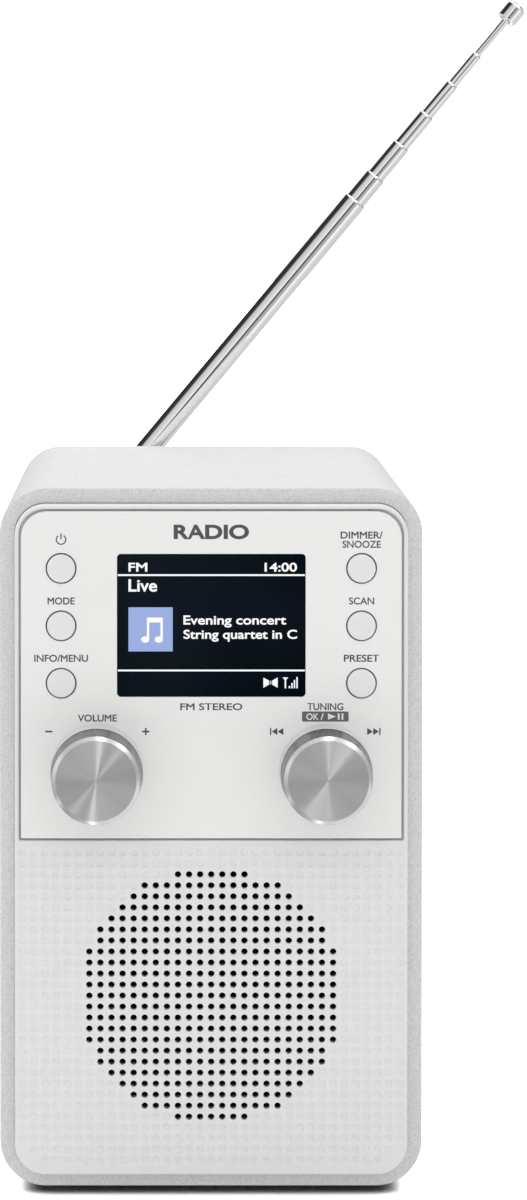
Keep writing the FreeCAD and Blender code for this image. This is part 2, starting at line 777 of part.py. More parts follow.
def make_collar(label, x):
    """The raised ring on the plate that the knob turns on top of."""
    inner = "(collar_radius - collar_wall)"
    profile = [(inner, COLLAR_FRONT), ("collar_radius - collar_edge", COLLAR_FRONT),
               ("collar_radius", "%s + collar_edge" % COLLAR_FRONT), ("collar_radius", FRONT),
               (inner, FRONT)]
    turned(label, profile, x=x, z=KNOB_Z)


def make_knob(label, x):
    """A spun aluminium cup: slightly tapered side, bevelled edge and flat face."""
    face_radius = "(knob_front_radius - knob_chamfer)"
    profile = [("0", KNOB_FRONT), (face_radius, KNOB_FRONT),
               ("knob_front_radius", "%s + knob_chamfer / 2" % KNOB_FRONT),
               ("knob_base_radius", KNOB_BACK),
               ("knob_base_radius - knob_wall", KNOB_BACK),
               ("knob_front_radius - knob_wall", "%s + knob_wall + knob_chamfer / 2" % KNOB_FRONT),
               ("0", "%s + knob_wall + knob_chamfer / 2" % KNOB_FRONT)]
    turned(label, profile, x=x, z=KNOB_Z)


def shaft_tip():
    """Where the shafts end inside the knobs."""
    return "(%s + knob_wall + knob_chamfer / 2 + shaft_tip_gap)" % KNOB_FRONT


def make_knob_insert(label, x):
    """The plastic hub pressed into the cup, with a flatted hole for the shaft."""
    front = "(%s + knob_wall + knob_chamfer / 2)" % KNOB_FRONT
    disc = rod("knob_front_radius - knob_wall - hub_fit", front, "(%s + hub_disc)" % front, x, KNOB_Z)
    hub = rod("shaft_radius + hub_wall", front, "(%s - push_travel - hub_gap)" % BUSHING_FRONT,
              x, KNOB_Z)
    bore = rod("shaft_radius", shaft_tip(), BUSHING_FRONT, x, KNOB_Z)
    flat = block("2 * shaft_radius", shaft_tip(), "(%s + flat_length)" % shaft_tip(), "shaft_radius",
                 x, "(%s + shaft_flat + shaft_radius / 2)" % KNOB_Z)
    piece(less(joined([disc, hub]), [less(bore, [flat])]), label)


def make_shaft(label, x, end):
    """The encoder's shaft, with a flat where the hub grips it."""
    bar = rod("shaft_radius", shaft_tip(), end, x, KNOB_Z)
    flat = block("2 * shaft_radius", "(%s - 1)" % shaft_tip(), "(%s + flat_length)" % shaft_tip(),
                 "shaft_radius", x, "(%s + shaft_flat + shaft_radius / 2)" % KNOB_Z)
    piece(less(bar, [flat]), label)


def make_encoder(label, x, with_rotor):
    """A rotary encoder: square case on the board and a round bushing that carries the shaft."""
    case = block("encoder_side", ENCODER_FRONT, BOARD_FRONT, "encoder_side", x, KNOB_Z)
    bushing = rod("bushing_radius", BUSHING_FRONT, ENCODER_FRONT, x, KNOB_Z)
    hollow = [rod("shaft_radius + shaft_fit", "(%s - 1)" % BUSHING_FRONT,
                  "(%s - encoder_floor)" % BOARD_FRONT, x, KNOB_Z)]
    if with_rotor:
        hollow.append(rod("rotor_radius + shaft_fit", "(%s + rotor_depth)" % ENCODER_FRONT,
                          "(%s + rotor_depth + 2 * rotor_play + rotor_thickness)" % ENCODER_FRONT,
                          x, KNOB_Z))
    piece(less(joined([case, bushing]), hollow), label)


def make_rotor():
    """The wiper disc inside the tuning encoder: it turns with the shaft, which slides through it."""
    low = "(%s + rotor_depth + rotor_play)" % ENCODER_FRONT
    turned("tuning_rotor", tube_outline("shaft_radius + shaft_fit", "rotor_radius", low,
                                        "(%s + rotor_thickness)" % low), x="knob_x", z=KNOB_Z)


def make_control_board():
    """The board behind the control plate. Its four screws are handed back."""
    body = new_body("control_board")
    sketch = new_sketch(body, offset="-" + BOARD_FRONT)
    rounded(sketch, "board_width", "board_height", "board_corner", y=BOARD_Z)
    for x, z in board_places():
        circle(sketch, "pilot_radius", x, z)
    pad(body, sketch, "board_thickness", backwards=True)
    back = "(%s + board_thickness)" % BOARD_FRONT
    return [small_screw(x, z, back, "board_screw_length", 1) for x, z in board_places()]


def small_screw(x, z, seat, length, way):
    """A cross-head screw with its head on a seat. Way is 1 for a head behind it and -1 in front."""
    sign = "+" if way > 0 else "-"
    end = "(%s %s (%s))" % (seat, "-" if way > 0 else "+", length)
    head = "(%s %s small_head_height)" % (seat, sign)
    deep = "(%s %s (small_head_height - small_cross_depth))" % (seat, sign)
    over = "(%s %s (small_head_height + 1))" % (seat, sign)
    shank = rod("small_pilot - thread_play", *sorted_run(end, seat, way), x, z)
    top = rod("small_head", *sorted_run(seat, head, way), x, z)
    low, high = sorted_run(deep, over, way)
    cross = [block("small_cross_width", low, high, "small_cross_length", x, z),
             block("small_cross_length", low, high, "small_cross_width", x, z)]
    return less(joined([shank, top]), cross)


def sorted_run(first, second, way):
    """Two places along Y, the nearer to the front first."""
    return (first, second) if way > 0 else (second, first)


def make_speaker():
    """The loudspeaker, from the grille cloth back to the magnet, about the grille's centre."""
    turned("grille_cloth", tube_outline("0", "cloth_radius", WALL_BACK,
                                        "(%s + cloth_thickness)" % WALL_BACK), z=GRILLE_Z)
    turned("speaker_gasket", tube_outline("surround_outer - gasket_lap", "cloth_radius",
                                          "(%s - speaker_gasket)" % SPEAKER_FRONT, SPEAKER_FRONT),
           z=GRILLE_Z)
    make_basket()
    seat = "(%s + flange_thickness)" % SPEAKER_FRONT
    group([small_screw(x, z, seat, "speaker_screw_length", 1) for x, z in speaker_places()],
          "speaker_screws")
    make_cone()
    make_spider()
    gap = "(coil_radius + coil_wall + coil_gap)"
    plate_back = "(%s + pole_plate)" % BASKET_FLOOR
    magnet_back = "(%s + magnet_thickness)" % plate_back
    pole_radius = "(magnet_radius - pole_inset)"
    turned("top_plate", tube_outline(gap, pole_radius, BASKET_FLOOR, plate_back), z=GRILLE_Z)
    turned("speaker_magnet", tube_outline("coil_radius + magnet_hole_play", "magnet_radius",
                                          plate_back, magnet_back), z=GRILLE_Z)
    turned("magnet_yoke", [
        ("0", BASKET_FLOOR), ("coil_radius - coil_gap", BASKET_FLOOR),
        ("coil_radius - coil_gap", magnet_back), (pole_radius, magnet_back),
        (pole_radius, "%s + pole_plate" % magnet_back), ("0", "%s + pole_plate" % magnet_back)],
        z=GRILLE_Z)


def make_basket():
    """The pressed basket: a flat flange, a sloping wall with six windows and a cup for the magnet."""
    front, back = SPEAKER_FRONT, "(%s + flange_thickness)" % SPEAKER_FRONT
    floor = BASKET_FLOOR
    hole = "(coil_radius + coil_wall + coil_gap + basket_hole_play)"
    cup = "(basket_floor_radius + basket_wall)"
    basket = turned("speaker_basket", [
        ("surround_outer", front), ("speaker_radius", front), ("speaker_radius", back),
        ("surround_outer + basket_shoulder", back), (cup, "%s - basket_cup" % floor), (cup, floor),
        (hole, floor), (hole, "%s - basket_wall" % floor),
        ("basket_floor_radius", "%s - basket_wall" % floor),
        ("basket_floor_radius", "%s - basket_cup" % floor), ("surround_outer", back)], z=GRILLE_Z)
    window = new_sketch(basket, "XY_Plane", "-speaker_radius")
    rectangle(window, "basket_window_width", "basket_window_height",
              y="(%s + basket_depth / 2)" % front)
    cut = pocket(basket, window, "speaker_radius - basket_floor_radius + basket_window_reach",
                 forwards=True)
    ring = basket.newObject("PartDesign::PolarPattern", "Windows")
    ring.Originals = [cut]
    ring.Axis = (origin_axis(basket, "Y_Axis"), [""])
    ring.Angle = 360
    ring.Occurrences = 6
    basket.Tip = ring
    holes = new_sketch(basket, offset="-" + front)
    reach = "speaker_screw_circle * %.8f" % DIAGONAL
    for side in ("-", ""):
        for level in ("-", ""):
            circle(holes, "pilot_radius", side + reach, level + reach)
    pocket(basket, holes, "flange_thickness")


def make_cone():
    """The moving parts of the loudspeaker: rolled surround, cone, dust cap and voice coil."""
    front = SPEAKER_FRONT
    middle = "((surround_inner + surround_outer) / 2)"
    crest = "%s + surround_crest" % front
    inside = "%s + surround_crest + surround_skin" % front
    foot = "%s + surround_foot" % front
    seat = "(%s + surround_foot + surround_skin)" % front
    lip = "%s + surround_lip" % front
    lip_back = "%s + surround_lip + surround_lip_skin" % front
    outer = "surround_outer - surround_play"
    turned("speaker_surround", [
        ("surround_inner", foot), ("surround_inner + surround_lip", foot),
        (middle + " - surround_half_crest", crest), (middle + " + surround_half_crest", crest),
        ("surround_outer - surround_skin", lip), (outer, lip), (outer, lip_back),
        ("surround_outer - surround_lip", lip_back),
        (middle + " + surround_half_crest - surround_skin / 2", inside),
        (middle + " - surround_half_crest + surround_skin / 2", inside),
        ("surround_inner + surround_lip + surround_skin / 2", seat), ("surround_inner", seat)],
        z=GRILLE_Z)
    neck = "(coil_radius + coil_wall + cone_neck_play)"
    turned("speaker_cone", [
        ("surround_inner", seat), ("surround_inner", "%s + cone_wall" % seat),
        (neck, CONE_BACK), (neck, "%s - 2 * cone_wall" % CONE_BACK),
        ("surround_inner - cone_rim", seat)], z=GRILLE_Z)
    dome = "(%s - cap_rise)" % CONE_BACK
    rim = "coil_radius - cap_play"
    turned("dust_cap", [
        ("0", dome), ("coil_radius / 2", "%s + cap_skin" % dome),
        (rim, "%s + cap_drop" % dome), (rim, "%s + cap_drop + cap_skin" % dome),
        ("coil_radius / 2", "%s + 2 * cap_skin" % dome), ("0", "%s + cap_skin" % dome)], z=GRILLE_Z)
    turned("voice_coil", tube_outline("coil_radius", "coil_radius + coil_wall",
                                      "(%s - coil_rise)" % CONE_BACK,
                                      "(%s + pole_plate - coil_play)" % BASKET_FLOOR), z=GRILLE_Z)


def make_spider():
    """The corrugated disc that centres the coil."""
    waves = 5
    inner = "(coil_radius + coil_wall + cone_neck_play + surround_play)"
    outer = "(basket_floor_radius - spider_play)"
    upper, lower = [], []
    for step in range(waves + 1):
        reach = "%s + (%s - %s) * %d / %d" % (inner, outer, inner, step, waves)
        crest = "(%s + spider_drop + %d * spider_wave)" % (CONE_BACK, step % 2)
        upper.append((reach, crest))
        lower.append((reach, "%s + spider_skin" % crest))
    turned("speaker_spider", upper + lower[::-1], z=GRILLE_Z)


def make_rear_cover():
    """The flat back: vents, countersunk screw seats, socket holes, antenna hole and board pillars."""
    body = new_body("rear_cover")
    sketch = new_sketch(body, offset="-" + COVER_FRONT)
    inside = "2 * (case_wall + cover_clearance)"
    rounded(sketch, "case_width - " + inside, "case_height - " + inside,
            "case_corner - case_wall - cover_clearance", y=CENTRE_Z)
    pad(body, sketch, "cover_thickness", backwards=True)
    pillars = new_sketch(body, offset="-" + COVER_FRONT)
    for x, z in pillar_places():
        circle(pillars, "pillar_radius", x, z)
    pad(body, pillars, "main_standoff")
    pilots = new_sketch(body, offset="-" + MAIN_BACK)
    for x, z in pillar_places():
        circle(pilots, "small_pilot", x, z)
    pocket(body, pilots, "main_standoff - pillar_floor")
    seats = new_sketch(body, offset="-" + BACK)
    for x, z in corner_places():
        circle(seats, "head_radius + screw_fit", x, z)
    pocket(body, seats, "head_height", forwards=True)
    through = new_sketch(body, offset="-" + BACK)
    for x, z in corner_places():
        circle(through, "screw_radius + screw_fit", x, z)
    circle(through, "swivel_stub + swivel_fit", "antenna_x", ANTENNA_Z)
    circle(through, "socket_nose + socket_fit", "socket_x", SOCKET_Z)
    circle(through, "socket_nose + socket_fit", "socket_x - socket_pitch", SOCKET_Z)
    pocket(body, through, "cover_thickness", forwards=True)
    slot = new_sketch(body, offset="-" + BACK)
    top = "(pad_height + case_height - vent_drop)"
    rounded(slot, "vent_length", "vent_width", "vent_width / 2 - %g" % TINY, x="vent_x", y=top)
    cut = pocket(body, slot, "cover_thickness", forwards=True)
    rows = body.newObject("PartDesign::LinearPattern", "Vents")
    rows.Originals = [cut]
    rows.Direction = (slot, ["V_Axis"])
    rows.Reversed = True
    rows.Occurrences = VENT_ROWS
    bind(rows, "Length", "%d * vent_pitch" % (VENT_ROWS - 1))
    body.Tip = rows


def pillar_places():
    """Where the main board is screwed to the rear cover."""
    x, z = "(main_board_width / 2 - pillar_inset)", "(main_board_height / 2 - pillar_inset)"
    return [(side + x, "%s + %s%s" % (MAIN_Z, level, z)) for side in ("-", "") for level in ("-", "")]


def make_long_screws():
    """Four long screws: through the rear cover and the case posts into the front frame."""
    screws = []
    seat = "(%s - head_height)" % BACK
    for x, z in corner_places():
        shank = rod("screw_radius", SKIRT_BACK, seat, x, z)
        thread = rod("pilot_radius - thread_play", "(%s - thread_length)" % SKIRT_BACK, SKIRT_BACK,
                     x, z)
        top = rod("head_radius", seat, "(%s - head_sunk)" % BACK, x, z)
        low, over = "(%s - cross_depth)" % BACK, "(%s + 1)" % BACK
        cross = [block("cross_width", low, over, "cross_length", x, z),
                 block("cross_length", low, over, "cross_width", x, z)]
        screws.append(less(joined([shank, thread, top]), cross))
    group(screws, "case_screws")


def make_main_board():
    """The tuner and amplifier board with what stands on it. Its screws are handed back."""
    front = "(%s - board_thickness)" % MAIN_BACK
    body = new_body("main_board")
    sketch = new_sketch(body, offset="-" + front)
    rounded(sketch, "main_board_width", "main_board_height", "board_corner", y=MAIN_Z)
    for x, z in pillar_places():
        circle(sketch, "pilot_radius", x, z)
    pad(body, sketch, "board_thickness", backwards=True)
    low, mid_z = "(%s - shield_depth)" % front, "(%s + shield_rise)" % MAIN_Z
    can = block("shield_width", low, front, "shield_height", "shield_x", mid_z)
    inside = block("shield_width - 2 * shield_skin", "(%s + shield_skin)" % low, "(%s + 1)" % front,
                   "shield_height - 2 * shield_skin", "shield_x", mid_z)
    piece(less(can, [inside]), "tuner_shield")
    cans = [rod("can_radius", "(%s - can_length)" % front, front,
                "(can_x + %d * can_pitch_x)" % column,
                "(%s + can_rise - %d * can_pitch_z)" % (MAIN_Z, row))
            for column, row in ((0, 0), (1, 0), (1, 1))]
    group(cans, "capacitors")
    return [small_screw(x, z, front, "board_thickness + pillar_screw_length", -1)
            for x, z in pillar_places()]


def make_sockets():
    """The power inlet and the headphone socket, whose noses reach the back of the rear cover."""
    case_back = "(%s - socket_play)" % COVER_FRONT
    for label, x, bore, depth, pin in (
            ("dc_socket", "socket_x", "dc_bore", "dc_depth", "dc_pin"),
            ("headphone_socket", "(socket_x - socket_pitch)", "jack_bore", "jack_depth", None)):
        case = block("socket_side", MAIN_BACK, case_back, "socket_side", x, SOCKET_Z)
        nose = rod("socket_nose", case_back, NOSE_END, x, SOCKET_Z)
        floor = "(%s - %s)" % (NOSE_END, depth)
        item = less(joined([case, nose]), [rod(bore, floor, "(%s + 1)" % BACK, x, SOCKET_Z)])
        if pin:
            core = rod(pin, "(%s - 1)" % floor, "(%s - pin_sunk)" % NOSE_END, x, SOCKET_Z)
            item = joined([item, core])
        piece(item, label)


def make_ribbon_cable():
    """The flat cable between the two boards, a bent strip."""
    body = new_body("ribbon_cable")
    start, end = "(%s + board_thickness)" % BOARD_FRONT, "(%s - board_thickness)" % MAIN_BACK
    high = "(%s - board_height / 2 + ribbon_inset)" % BOARD_Z
    low = "(%s + main_board_height / 2 - ribbon_inset)" % MAIN_Z
    near, far = "(%s + ribbon_straight)" % start, "(%s - ribbon_straight)" % end
    sketch = new_sketch(body, "YZ_Plane", "ribbon_x - ribbon_width / 2")
    outline(sketch, [
        (start, high), (near, high), (far, low), (end, low), (end, "%s + ribbon_thickness" % low),
        ("%s + ribbon_thickness / 4" % far, "%s + ribbon_thickness" % low),
        ("%s + ribbon_thickness / 4" % near, "%s + ribbon_thickness" % high),
        (start, "%s + ribbon_thickness" % high)])
    pad(body, sketch, "ribbon_width")


def tie_to_antenna(item):
    """Tie a piece built about the pivot, with its X axis along the mast, to the pivot and the lean."""
    item.Placement = FreeCAD.Placement(Vector(), FreeCAD.Rotation(Vector(0, -1, 0), 1))
    place(item, "antenna_x", ANTENNA_Y, ANTENNA_Z)
    bind(item, "Placement.Rotation.Angle", "90 - antenna_lean")


def along_mast(label, points):
    """A round body turned about the mast, from (distance from the pivot, radius) pairs."""
    body = new_body(label)
    sketch = new_sketch(body, "XY_Plane")
    outline(sketch, points)
    feature = body.newObject("PartDesign::Revolution", "Revolution")
    feature.Profile = sketch
    feature.ReferenceAxis = (sketch, ["H_Axis"])
    feature.Angle = 360
    tie_to_antenna(body)
    return body


def tube_radius(number):
    """Outer radius of mast section number, 1 being the thickest."""
    return "(mast_radius - %d * tube_step)" % (number - 1)


def section_end(number):
    """Distance from the pivot to the free end of a mast section."""
    return "(mast_start + mast_length%s)" % "".join(" + exposed_%d" % n for n in range(2, number + 1))


def section_length(number):
    """Length of a mast section: each one nests inside the last."""
    return "(mast_length - plug_depth - %d * nest_step)" % (number - 1)


def upright_rod(radius, length):
    """A Part cylinder across the mast's fold, about the pivot."""
    item = doc.addObject("Part::Cylinder", "Upright")
    bind(item, "Radius", radius)
    bind(item, "Height", length)
    place(item, z="-(%s) / 2" % length)
    return item


def make_swivel():
    """The round head that turns on the rear cover, its pin and the nut inside that holds it."""
    swivel_front = "(swivel_gap - antenna_offset)"
    head = rod("swivel_radius", swivel_front, "(tongue_radius + swivel_cheek)")
    stub = rod("swivel_stub", "(-antenna_offset - cover_thickness - swivel_stub_proud)", swivel_front)
    slot = block("2 * swivel_radius + 2", "(-tongue_radius - tongue_play)",
                 "(tongue_radius + swivel_cheek + 1)", "tongue_width + 2 * tongue_fit")
    swivel = less(joined([head, stub]), [slot, upright_rod("pin_radius", "2 * swivel_radius + 2")])
    tie_to_antenna(piece(swivel, "antenna_swivel"))
    pin = doc.addObject("Part::Compound", "PinGroup")
    pin.Links = [upright_rod("pin_radius", "2 * (swivel_radius - pin_inset)")]
    tie_to_antenna(piece(pin, "knuckle_pin"))
    bore = "swivel_stub + swivel_fit"
    nut = turned("swivel_nut", tube_outline(bore, "swivel_stub + swivel_nut_wall", "0",
                                            "swivel_nut_height"))
    place(nut, "antenna_x", "(%s - swivel_stub_proud - swivel_nut_height)" % COVER_FRONT, ANTENNA_Z)


def make_knuckle():
    """The flat tongue that folds on the pin, with the plug that fills the first tube's foot."""
    body = new_body("antenna_knuckle")
    sketch = new_sketch(body, "XY_Plane", "-tongue_width / 2")
    circle(sketch, "tongue_radius")
    pad(body, sketch, "tongue_width")
    arm = new_sketch(body, "XY_Plane", "-tongue_width / 2")
    neck = "mast_start - knuckle_gap"
    outline(arm, [("0", "-tongue_radius"), (neck, "-tongue_radius"), (neck, "tongue_radius"),
                  ("0", "tongue_radius")])
    pad(body, arm, "tongue_width")
    plug = new_sketch(body, "YZ_Plane", neck)
    circle(plug, "mast_radius - (tube_step - tube_fit)")
    pad(body, plug, "plug_depth + knuckle_gap")
    bore = new_sketch(body, "XY_Plane", "-tongue_width / 2 - 1")
    circle(bore, "pin_radius + pin_fit")
    pocket(body, bore, "tongue_width + 2", forwards=True)
    tie_to_antenna(body)


def make_mast():
    """The six tubes, each a running fit in the last, the rod and its cap."""
    for number in range(1, ROD):
        outer = tube_radius(number)
        end = section_end(number)
        low = "mast_start" if number == 1 else "(%s - %s)" % (end, section_length(number))
        inner = "(%s - tube_step + tube_fit)" % outer
        along_mast("antenna_section_%d" % number, [
            (low, inner), (low, outer), ("%s - tube_lip_length" % end, outer),
            (end, "%s - tube_lip" % outer), (end, inner)])
    end = section_end(ROD)
    low = "(%s - %s)" % (end, section_length(ROD))
    along_mast("antenna_rod", [(low, "0"), (low, tube_radius(ROD)), (end, tube_radius(ROD)),
                               (end, "0")])
    tip = "%s + cap_length" % end
    along_mast("antenna_tip", [
        (end, "0"), (end, "cap_radius - cap_low_chamfer"), ("%s + cap_low_chamfer" % end, "cap_radius"),
        (tip + " - cap_high_chamfer", "cap_radius"), (tip, "cap_radius - cap_high_chamfer"),
        (tip, "0")])


def build():
    """Make every sub-part."""
    make_case_shell()
    make_base_pad()
    make_front_frame()
    make_control_plate()
    make_display()
    make_buttons()
    make_switches()
    for side, x in (("volume", "-knob_x"), ("tuning", "knob_x")):
        pushes = side == "tuning"
        make_collar(side + "_collar", x)
        make_knob(side + "_knob", x)
        make_knob_insert(side + "_knob_hub", x)
        make_encoder(side + "_encoder", x, with_rotor=pushes)
        make_shaft(side + "_shaft", x,
                   "(%s - encoder_floor - push_travel - button_play)" % BOARD_FRONT)
    make_rotor()
    screws = make_control_board()
    make_speaker()
    make_rear_cover()
    make_long_screws()
    screws += make_main_board()
    group(screws, "board_screws")
    make_sockets()
    make_ribbon_cable()
    make_swivel()
    make_knuckle()
    make_mast()
    doc.recompute()


def check_and_write():
    """Stop if any object failed or any sub-part is empty or invalid, then write the sub-parts."""
    faults = [item.Label for item in doc.Objects if {"Invalid", "Error"} & set(item.State)]
    for item in PIECES:
        if item.Shape.isNull() or not item.Shape.isValid() or not item.Shape.Solids:
            faults.append(item.Label + " (shape)")
    if faults:
        raise RuntimeError("failed objects: " + ", ".join(faults))
    os.makedirs("parts", exist_ok=True)
    for item in PIECES:
        item.Shape.exportStep("parts/%s.step" % item.Label)
    print("%d sub-parts written" % len(PIECES))


build()
check_and_write()
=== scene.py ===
import json
import math

import bmesh
import bpy
from mathutils import Matrix, Vector


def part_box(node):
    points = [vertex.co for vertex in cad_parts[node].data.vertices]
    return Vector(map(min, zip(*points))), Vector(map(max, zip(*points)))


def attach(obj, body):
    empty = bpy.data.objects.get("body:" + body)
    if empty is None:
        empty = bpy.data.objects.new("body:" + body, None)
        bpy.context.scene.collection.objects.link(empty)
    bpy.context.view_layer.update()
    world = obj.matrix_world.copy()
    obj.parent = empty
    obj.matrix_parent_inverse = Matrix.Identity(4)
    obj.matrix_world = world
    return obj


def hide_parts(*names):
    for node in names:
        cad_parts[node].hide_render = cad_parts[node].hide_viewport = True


# The looks of the tabletop radio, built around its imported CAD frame.
# Meshes are written in millimetres and scaled once, so every length below is in millimetres
# unless its name says otherwise. +X is the user's right, +Y runs to the back and +Z is up.

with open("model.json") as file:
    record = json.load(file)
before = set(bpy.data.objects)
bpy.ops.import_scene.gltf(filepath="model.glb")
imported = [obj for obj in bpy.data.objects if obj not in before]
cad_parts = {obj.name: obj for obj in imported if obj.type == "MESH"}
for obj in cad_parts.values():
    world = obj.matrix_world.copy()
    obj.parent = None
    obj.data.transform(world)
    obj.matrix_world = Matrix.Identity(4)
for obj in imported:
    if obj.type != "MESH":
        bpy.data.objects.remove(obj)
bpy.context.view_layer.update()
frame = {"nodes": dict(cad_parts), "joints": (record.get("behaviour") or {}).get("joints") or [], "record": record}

MM = 0.001
CORNER_STEPS = 12
EDGE_STEPS = 4
HOLE_SIDES = 64
ARC_STEPS = 5
BAND_STEPS = 40
HOLE_EDGE = 0.15
SMALLEST_CORNER = 0.02


def box(node):
    """Lowest and highest corner of a CAD node, in millimetres."""
    low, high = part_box(node)
    return low / MM, high / MM


def middle(node):
    """Centre of a CAD node's box, in millimetres."""
    low, high = box(node)
    return (low + high) / 2


# ---------------------------------------------------------------- places read from the CAD

FRAME_LOW, FRAME_HIGH = box("front_frame")
PLATE_LOW, PLATE_HIGH = box("control_plate")
WINDOW_LOW, WINDOW_HIGH = box("display_window")
WINDOW_MID = middle("display_window")
GRILLE_Z = middle("grille_cloth").z
PLATE_FRONT = PLATE_LOW.y
PLATE_BACK = PLATE_HIGH.y
WALL_BACK = box("grille_cloth")[0].y
BUTTONS = ("power_button", "mode_button", "menu_button",
           "snooze_button", "scan_button", "preset_button")
KNOBS = ("volume", "tuning")

# ---------------------------------------------------------------- mesh building


def rounded(width, height, x, z, top, bottom=None):
    """Outline of a rectangle with round corners, as a function of how far it grows outwards."""
    radii = (top, top, top if bottom is None else bottom, top if bottom is None else bottom)
    signs = ((1, 1), (-1, 1), (-1, -1), (1, -1))

    def grown(grow):
        points = []
        for quarter, ((side, level), radius) in enumerate(zip(signs, radii)):
            corner = max(radius + grow, SMALLEST_CORNER)
            mid_x = x + side * (width / 2 + grow - corner)
            mid_z = z + level * (height / 2 + grow - corner)
            for step in range(CORNER_STEPS + 1):
                angle = math.radians(90 * (quarter + step / CORNER_STEPS))
                points.append((mid_x + corner * math.cos(angle), mid_z + corner * math.sin(angle)))
        return points

    return grown


def round_hole(radius, x, z):
    """Outline of a circle, as a function of how far it grows outwards."""
    def grown(grow):
        turns = [2 * math.pi * step / HOLE_SIDES for step in range(HOLE_SIDES)]
        return [(x + (radius + grow) * math.cos(a), z + (radius + grow) * math.sin(a)) for a in turns]

    return grown


def loop(bm, points, y):
    """A ring of vertices in a plane across Y."""
    return [bm.verts.new((x, y, z)) for x, z in points]


def strip(bm, first, second):
    """A band of quads between two rings with as many vertices."""
    for index in range(len(first)):
        bm.faces.new((first[index - 1], first[index], second[index], second[index - 1]))


def fill(bm, rings, loose=()):
    """Triangles across one plane between closed rings, and any loose border edges given."""
    edges = list(loose)
    for ring in rings:
        for index, vertex in enumerate(ring):
            pair = (ring[index - 1], vertex)
            edges.append(bm.edges.get(pair) or bm.edges.new(pair))
    bmesh.ops.triangle_fill(bm, use_beauty=True, use_dissolve=False, edges=edges, normal=(0, -1, 0))


def edge_rings(bm, outline, front, edge, inwards):
    """Rings down a rounded edge, from the front plane to the side wall."""
    rings = []
    for step in range(EDGE_STEPS + 1):
        angle = math.pi / 2 * step / EDGE_STEPS
        grow = edge * (1 - math.sin(angle)) * (-1 if inwards else 1)
        rings.append(loop(bm, outline(grow), front + edge * (1 - math.cos(angle))))
    return rings


def bands(bm, rings):
    """Bands of quads down a list of rings."""
    for first, second in zip(rings, rings[1:]):
        strip(bm, first, second)


def slab(bm, outline, front, back, edge, holes):
    """A flat plate across Y with a rounded front edge and, through it, holes with eased edges."""
    sides = [(outline, edge, True)] + [(hole, HOLE_EDGE, False) for hole in holes]
    fronts, backs = [], []
    for shape, size, inwards in sides:
        rings = edge_rings(bm, shape, front, size, inwards)
        rings.append(loop(bm, shape(0), back))
        bands(bm, rings)
        fronts.append(rings[0])
        backs.append(rings[-1])
    fill(bm, fronts)
    fill(bm, backs)


def lathe(bm, profile, x=0.0, z=0.0, steps=96, toothed=(), tooth=0.0):
    """Turns (radius, place along Y) pairs about a line along Y. A radius of 0 is one vertex.

    The rings whose numbers are in toothed have every second vertex sunk by tooth.
    """
    rings = []
    for number, (radius, y) in enumerate(profile):
        if radius == 0:
            rings.append([bm.verts.new((x, y, z))])
            continue
        ring = []
        for step in range(steps):
            angle = 2 * math.pi * step / steps
            reach = radius - (tooth if number in toothed and step % 2 else 0.0)
            ring.append(bm.verts.new((x + reach * math.cos(angle), y, z + reach * math.sin(angle))))
        rings.append(ring)
    for first, second in zip(rings, rings[1:]):
        if len(first) == 1 or len(second) == 1:
            tip, ring = (first[0], second) if len(first) == 1 else (second[0], first)
            for index in range(len(ring)):
                bm.faces.new((ring[index - 1], ring[index], tip))
        else:
            strip(bm, first, second)
    return rings


def closed_lathe(bm, profile, **options):
    """A ring-shaped lathe: the profile's end joins its start."""
    rings = lathe(bm, profile, **options)
    strip(bm, rings[-1], rings[0])


def arc(radius, mid_r, mid_y, start, stop):
    """Profile points on an arc, with angles in degrees from +radius towards +Y."""
    turns = [math.radians(start + (stop - start) * step / ARC_STEPS) for step in range(ARC_STEPS + 1)]
    return [(mid_r + radius * math.cos(a), mid_y + radius * math.sin(a)) for a in turns]


def add(bm, name, body, material, replaces=(), sharp=40.0, accents=()):
    """Turns a mesh in millimetres into a piece that rides on a CAD body.

    Accents are (material, from, to): faces whose middles lie between two places along Y take it.
    """
    bmesh.ops.recalc_face_normals(bm, faces=bm.faces)
    for number, (_, start, stop) in enumerate(accents, start=1):
        for face in bm.faces:
            if start < face.calc_center_median().y < stop:
                face.material_index = number
    bm.transform(Matrix.Scale(MM, 4))
    mesh = bpy.data.meshes.new(name)
    bm.to_mesh(mesh)
    bm.free()
    mesh.shade_smooth()
    mesh.set_sharp_from_angle(angle=math.radians(sharp))
    for shade in (material, *(accent[0] for accent in accents)):
        mesh.materials.append(shade)
    item = bpy.data.objects.new(name, mesh)
    bpy.context.scene.collection.objects.link(item)
    weighted = item.modifiers.new("even_shading", "WEIGHTED_NORMAL")
    weighted.keep_sharp = True
    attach(item, body)
    if replaces:
        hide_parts(*replaces)


# ---------------------------------------------------------------- materials


class Nodes:
    """A small helper that writes one node tree."""

    def __init__(self, tree):
        self.tree = tree

    def node(self, kind, **settings):
        item = self.tree.nodes.new(kind)
        for key, value in settings.items():
            setattr(item, key, value)
        return item

    def link(self, source, target):
        self.tree.links.new(source, target)

    def maths(self, operation, first, second=0.0):
        """One sum of numbers or sockets."""
        item = self.node("ShaderNodeMath", operation=operation)
        for socket, value in zip(item.inputs, (first, second)):
            if isinstance(value, (int, float)):
                socket.default_value = value
            else:
                self.link(value, socket)
        return item.outputs["Value"]

    def ramp(self, source, low, high, start=0.3, stop=0.7):
        """A number stretched from start..stop to low..high."""
        item = self.node("ShaderNodeMapRange")
        item.inputs["From Min"].default_value = start
        item.inputs["From Max"].default_value = stop
        item.inputs["To Min"].default_value = low
        item.inputs["To Max"].default_value = high
        self.link(source, item.inputs["Value"])
        return item.outputs["Result"]


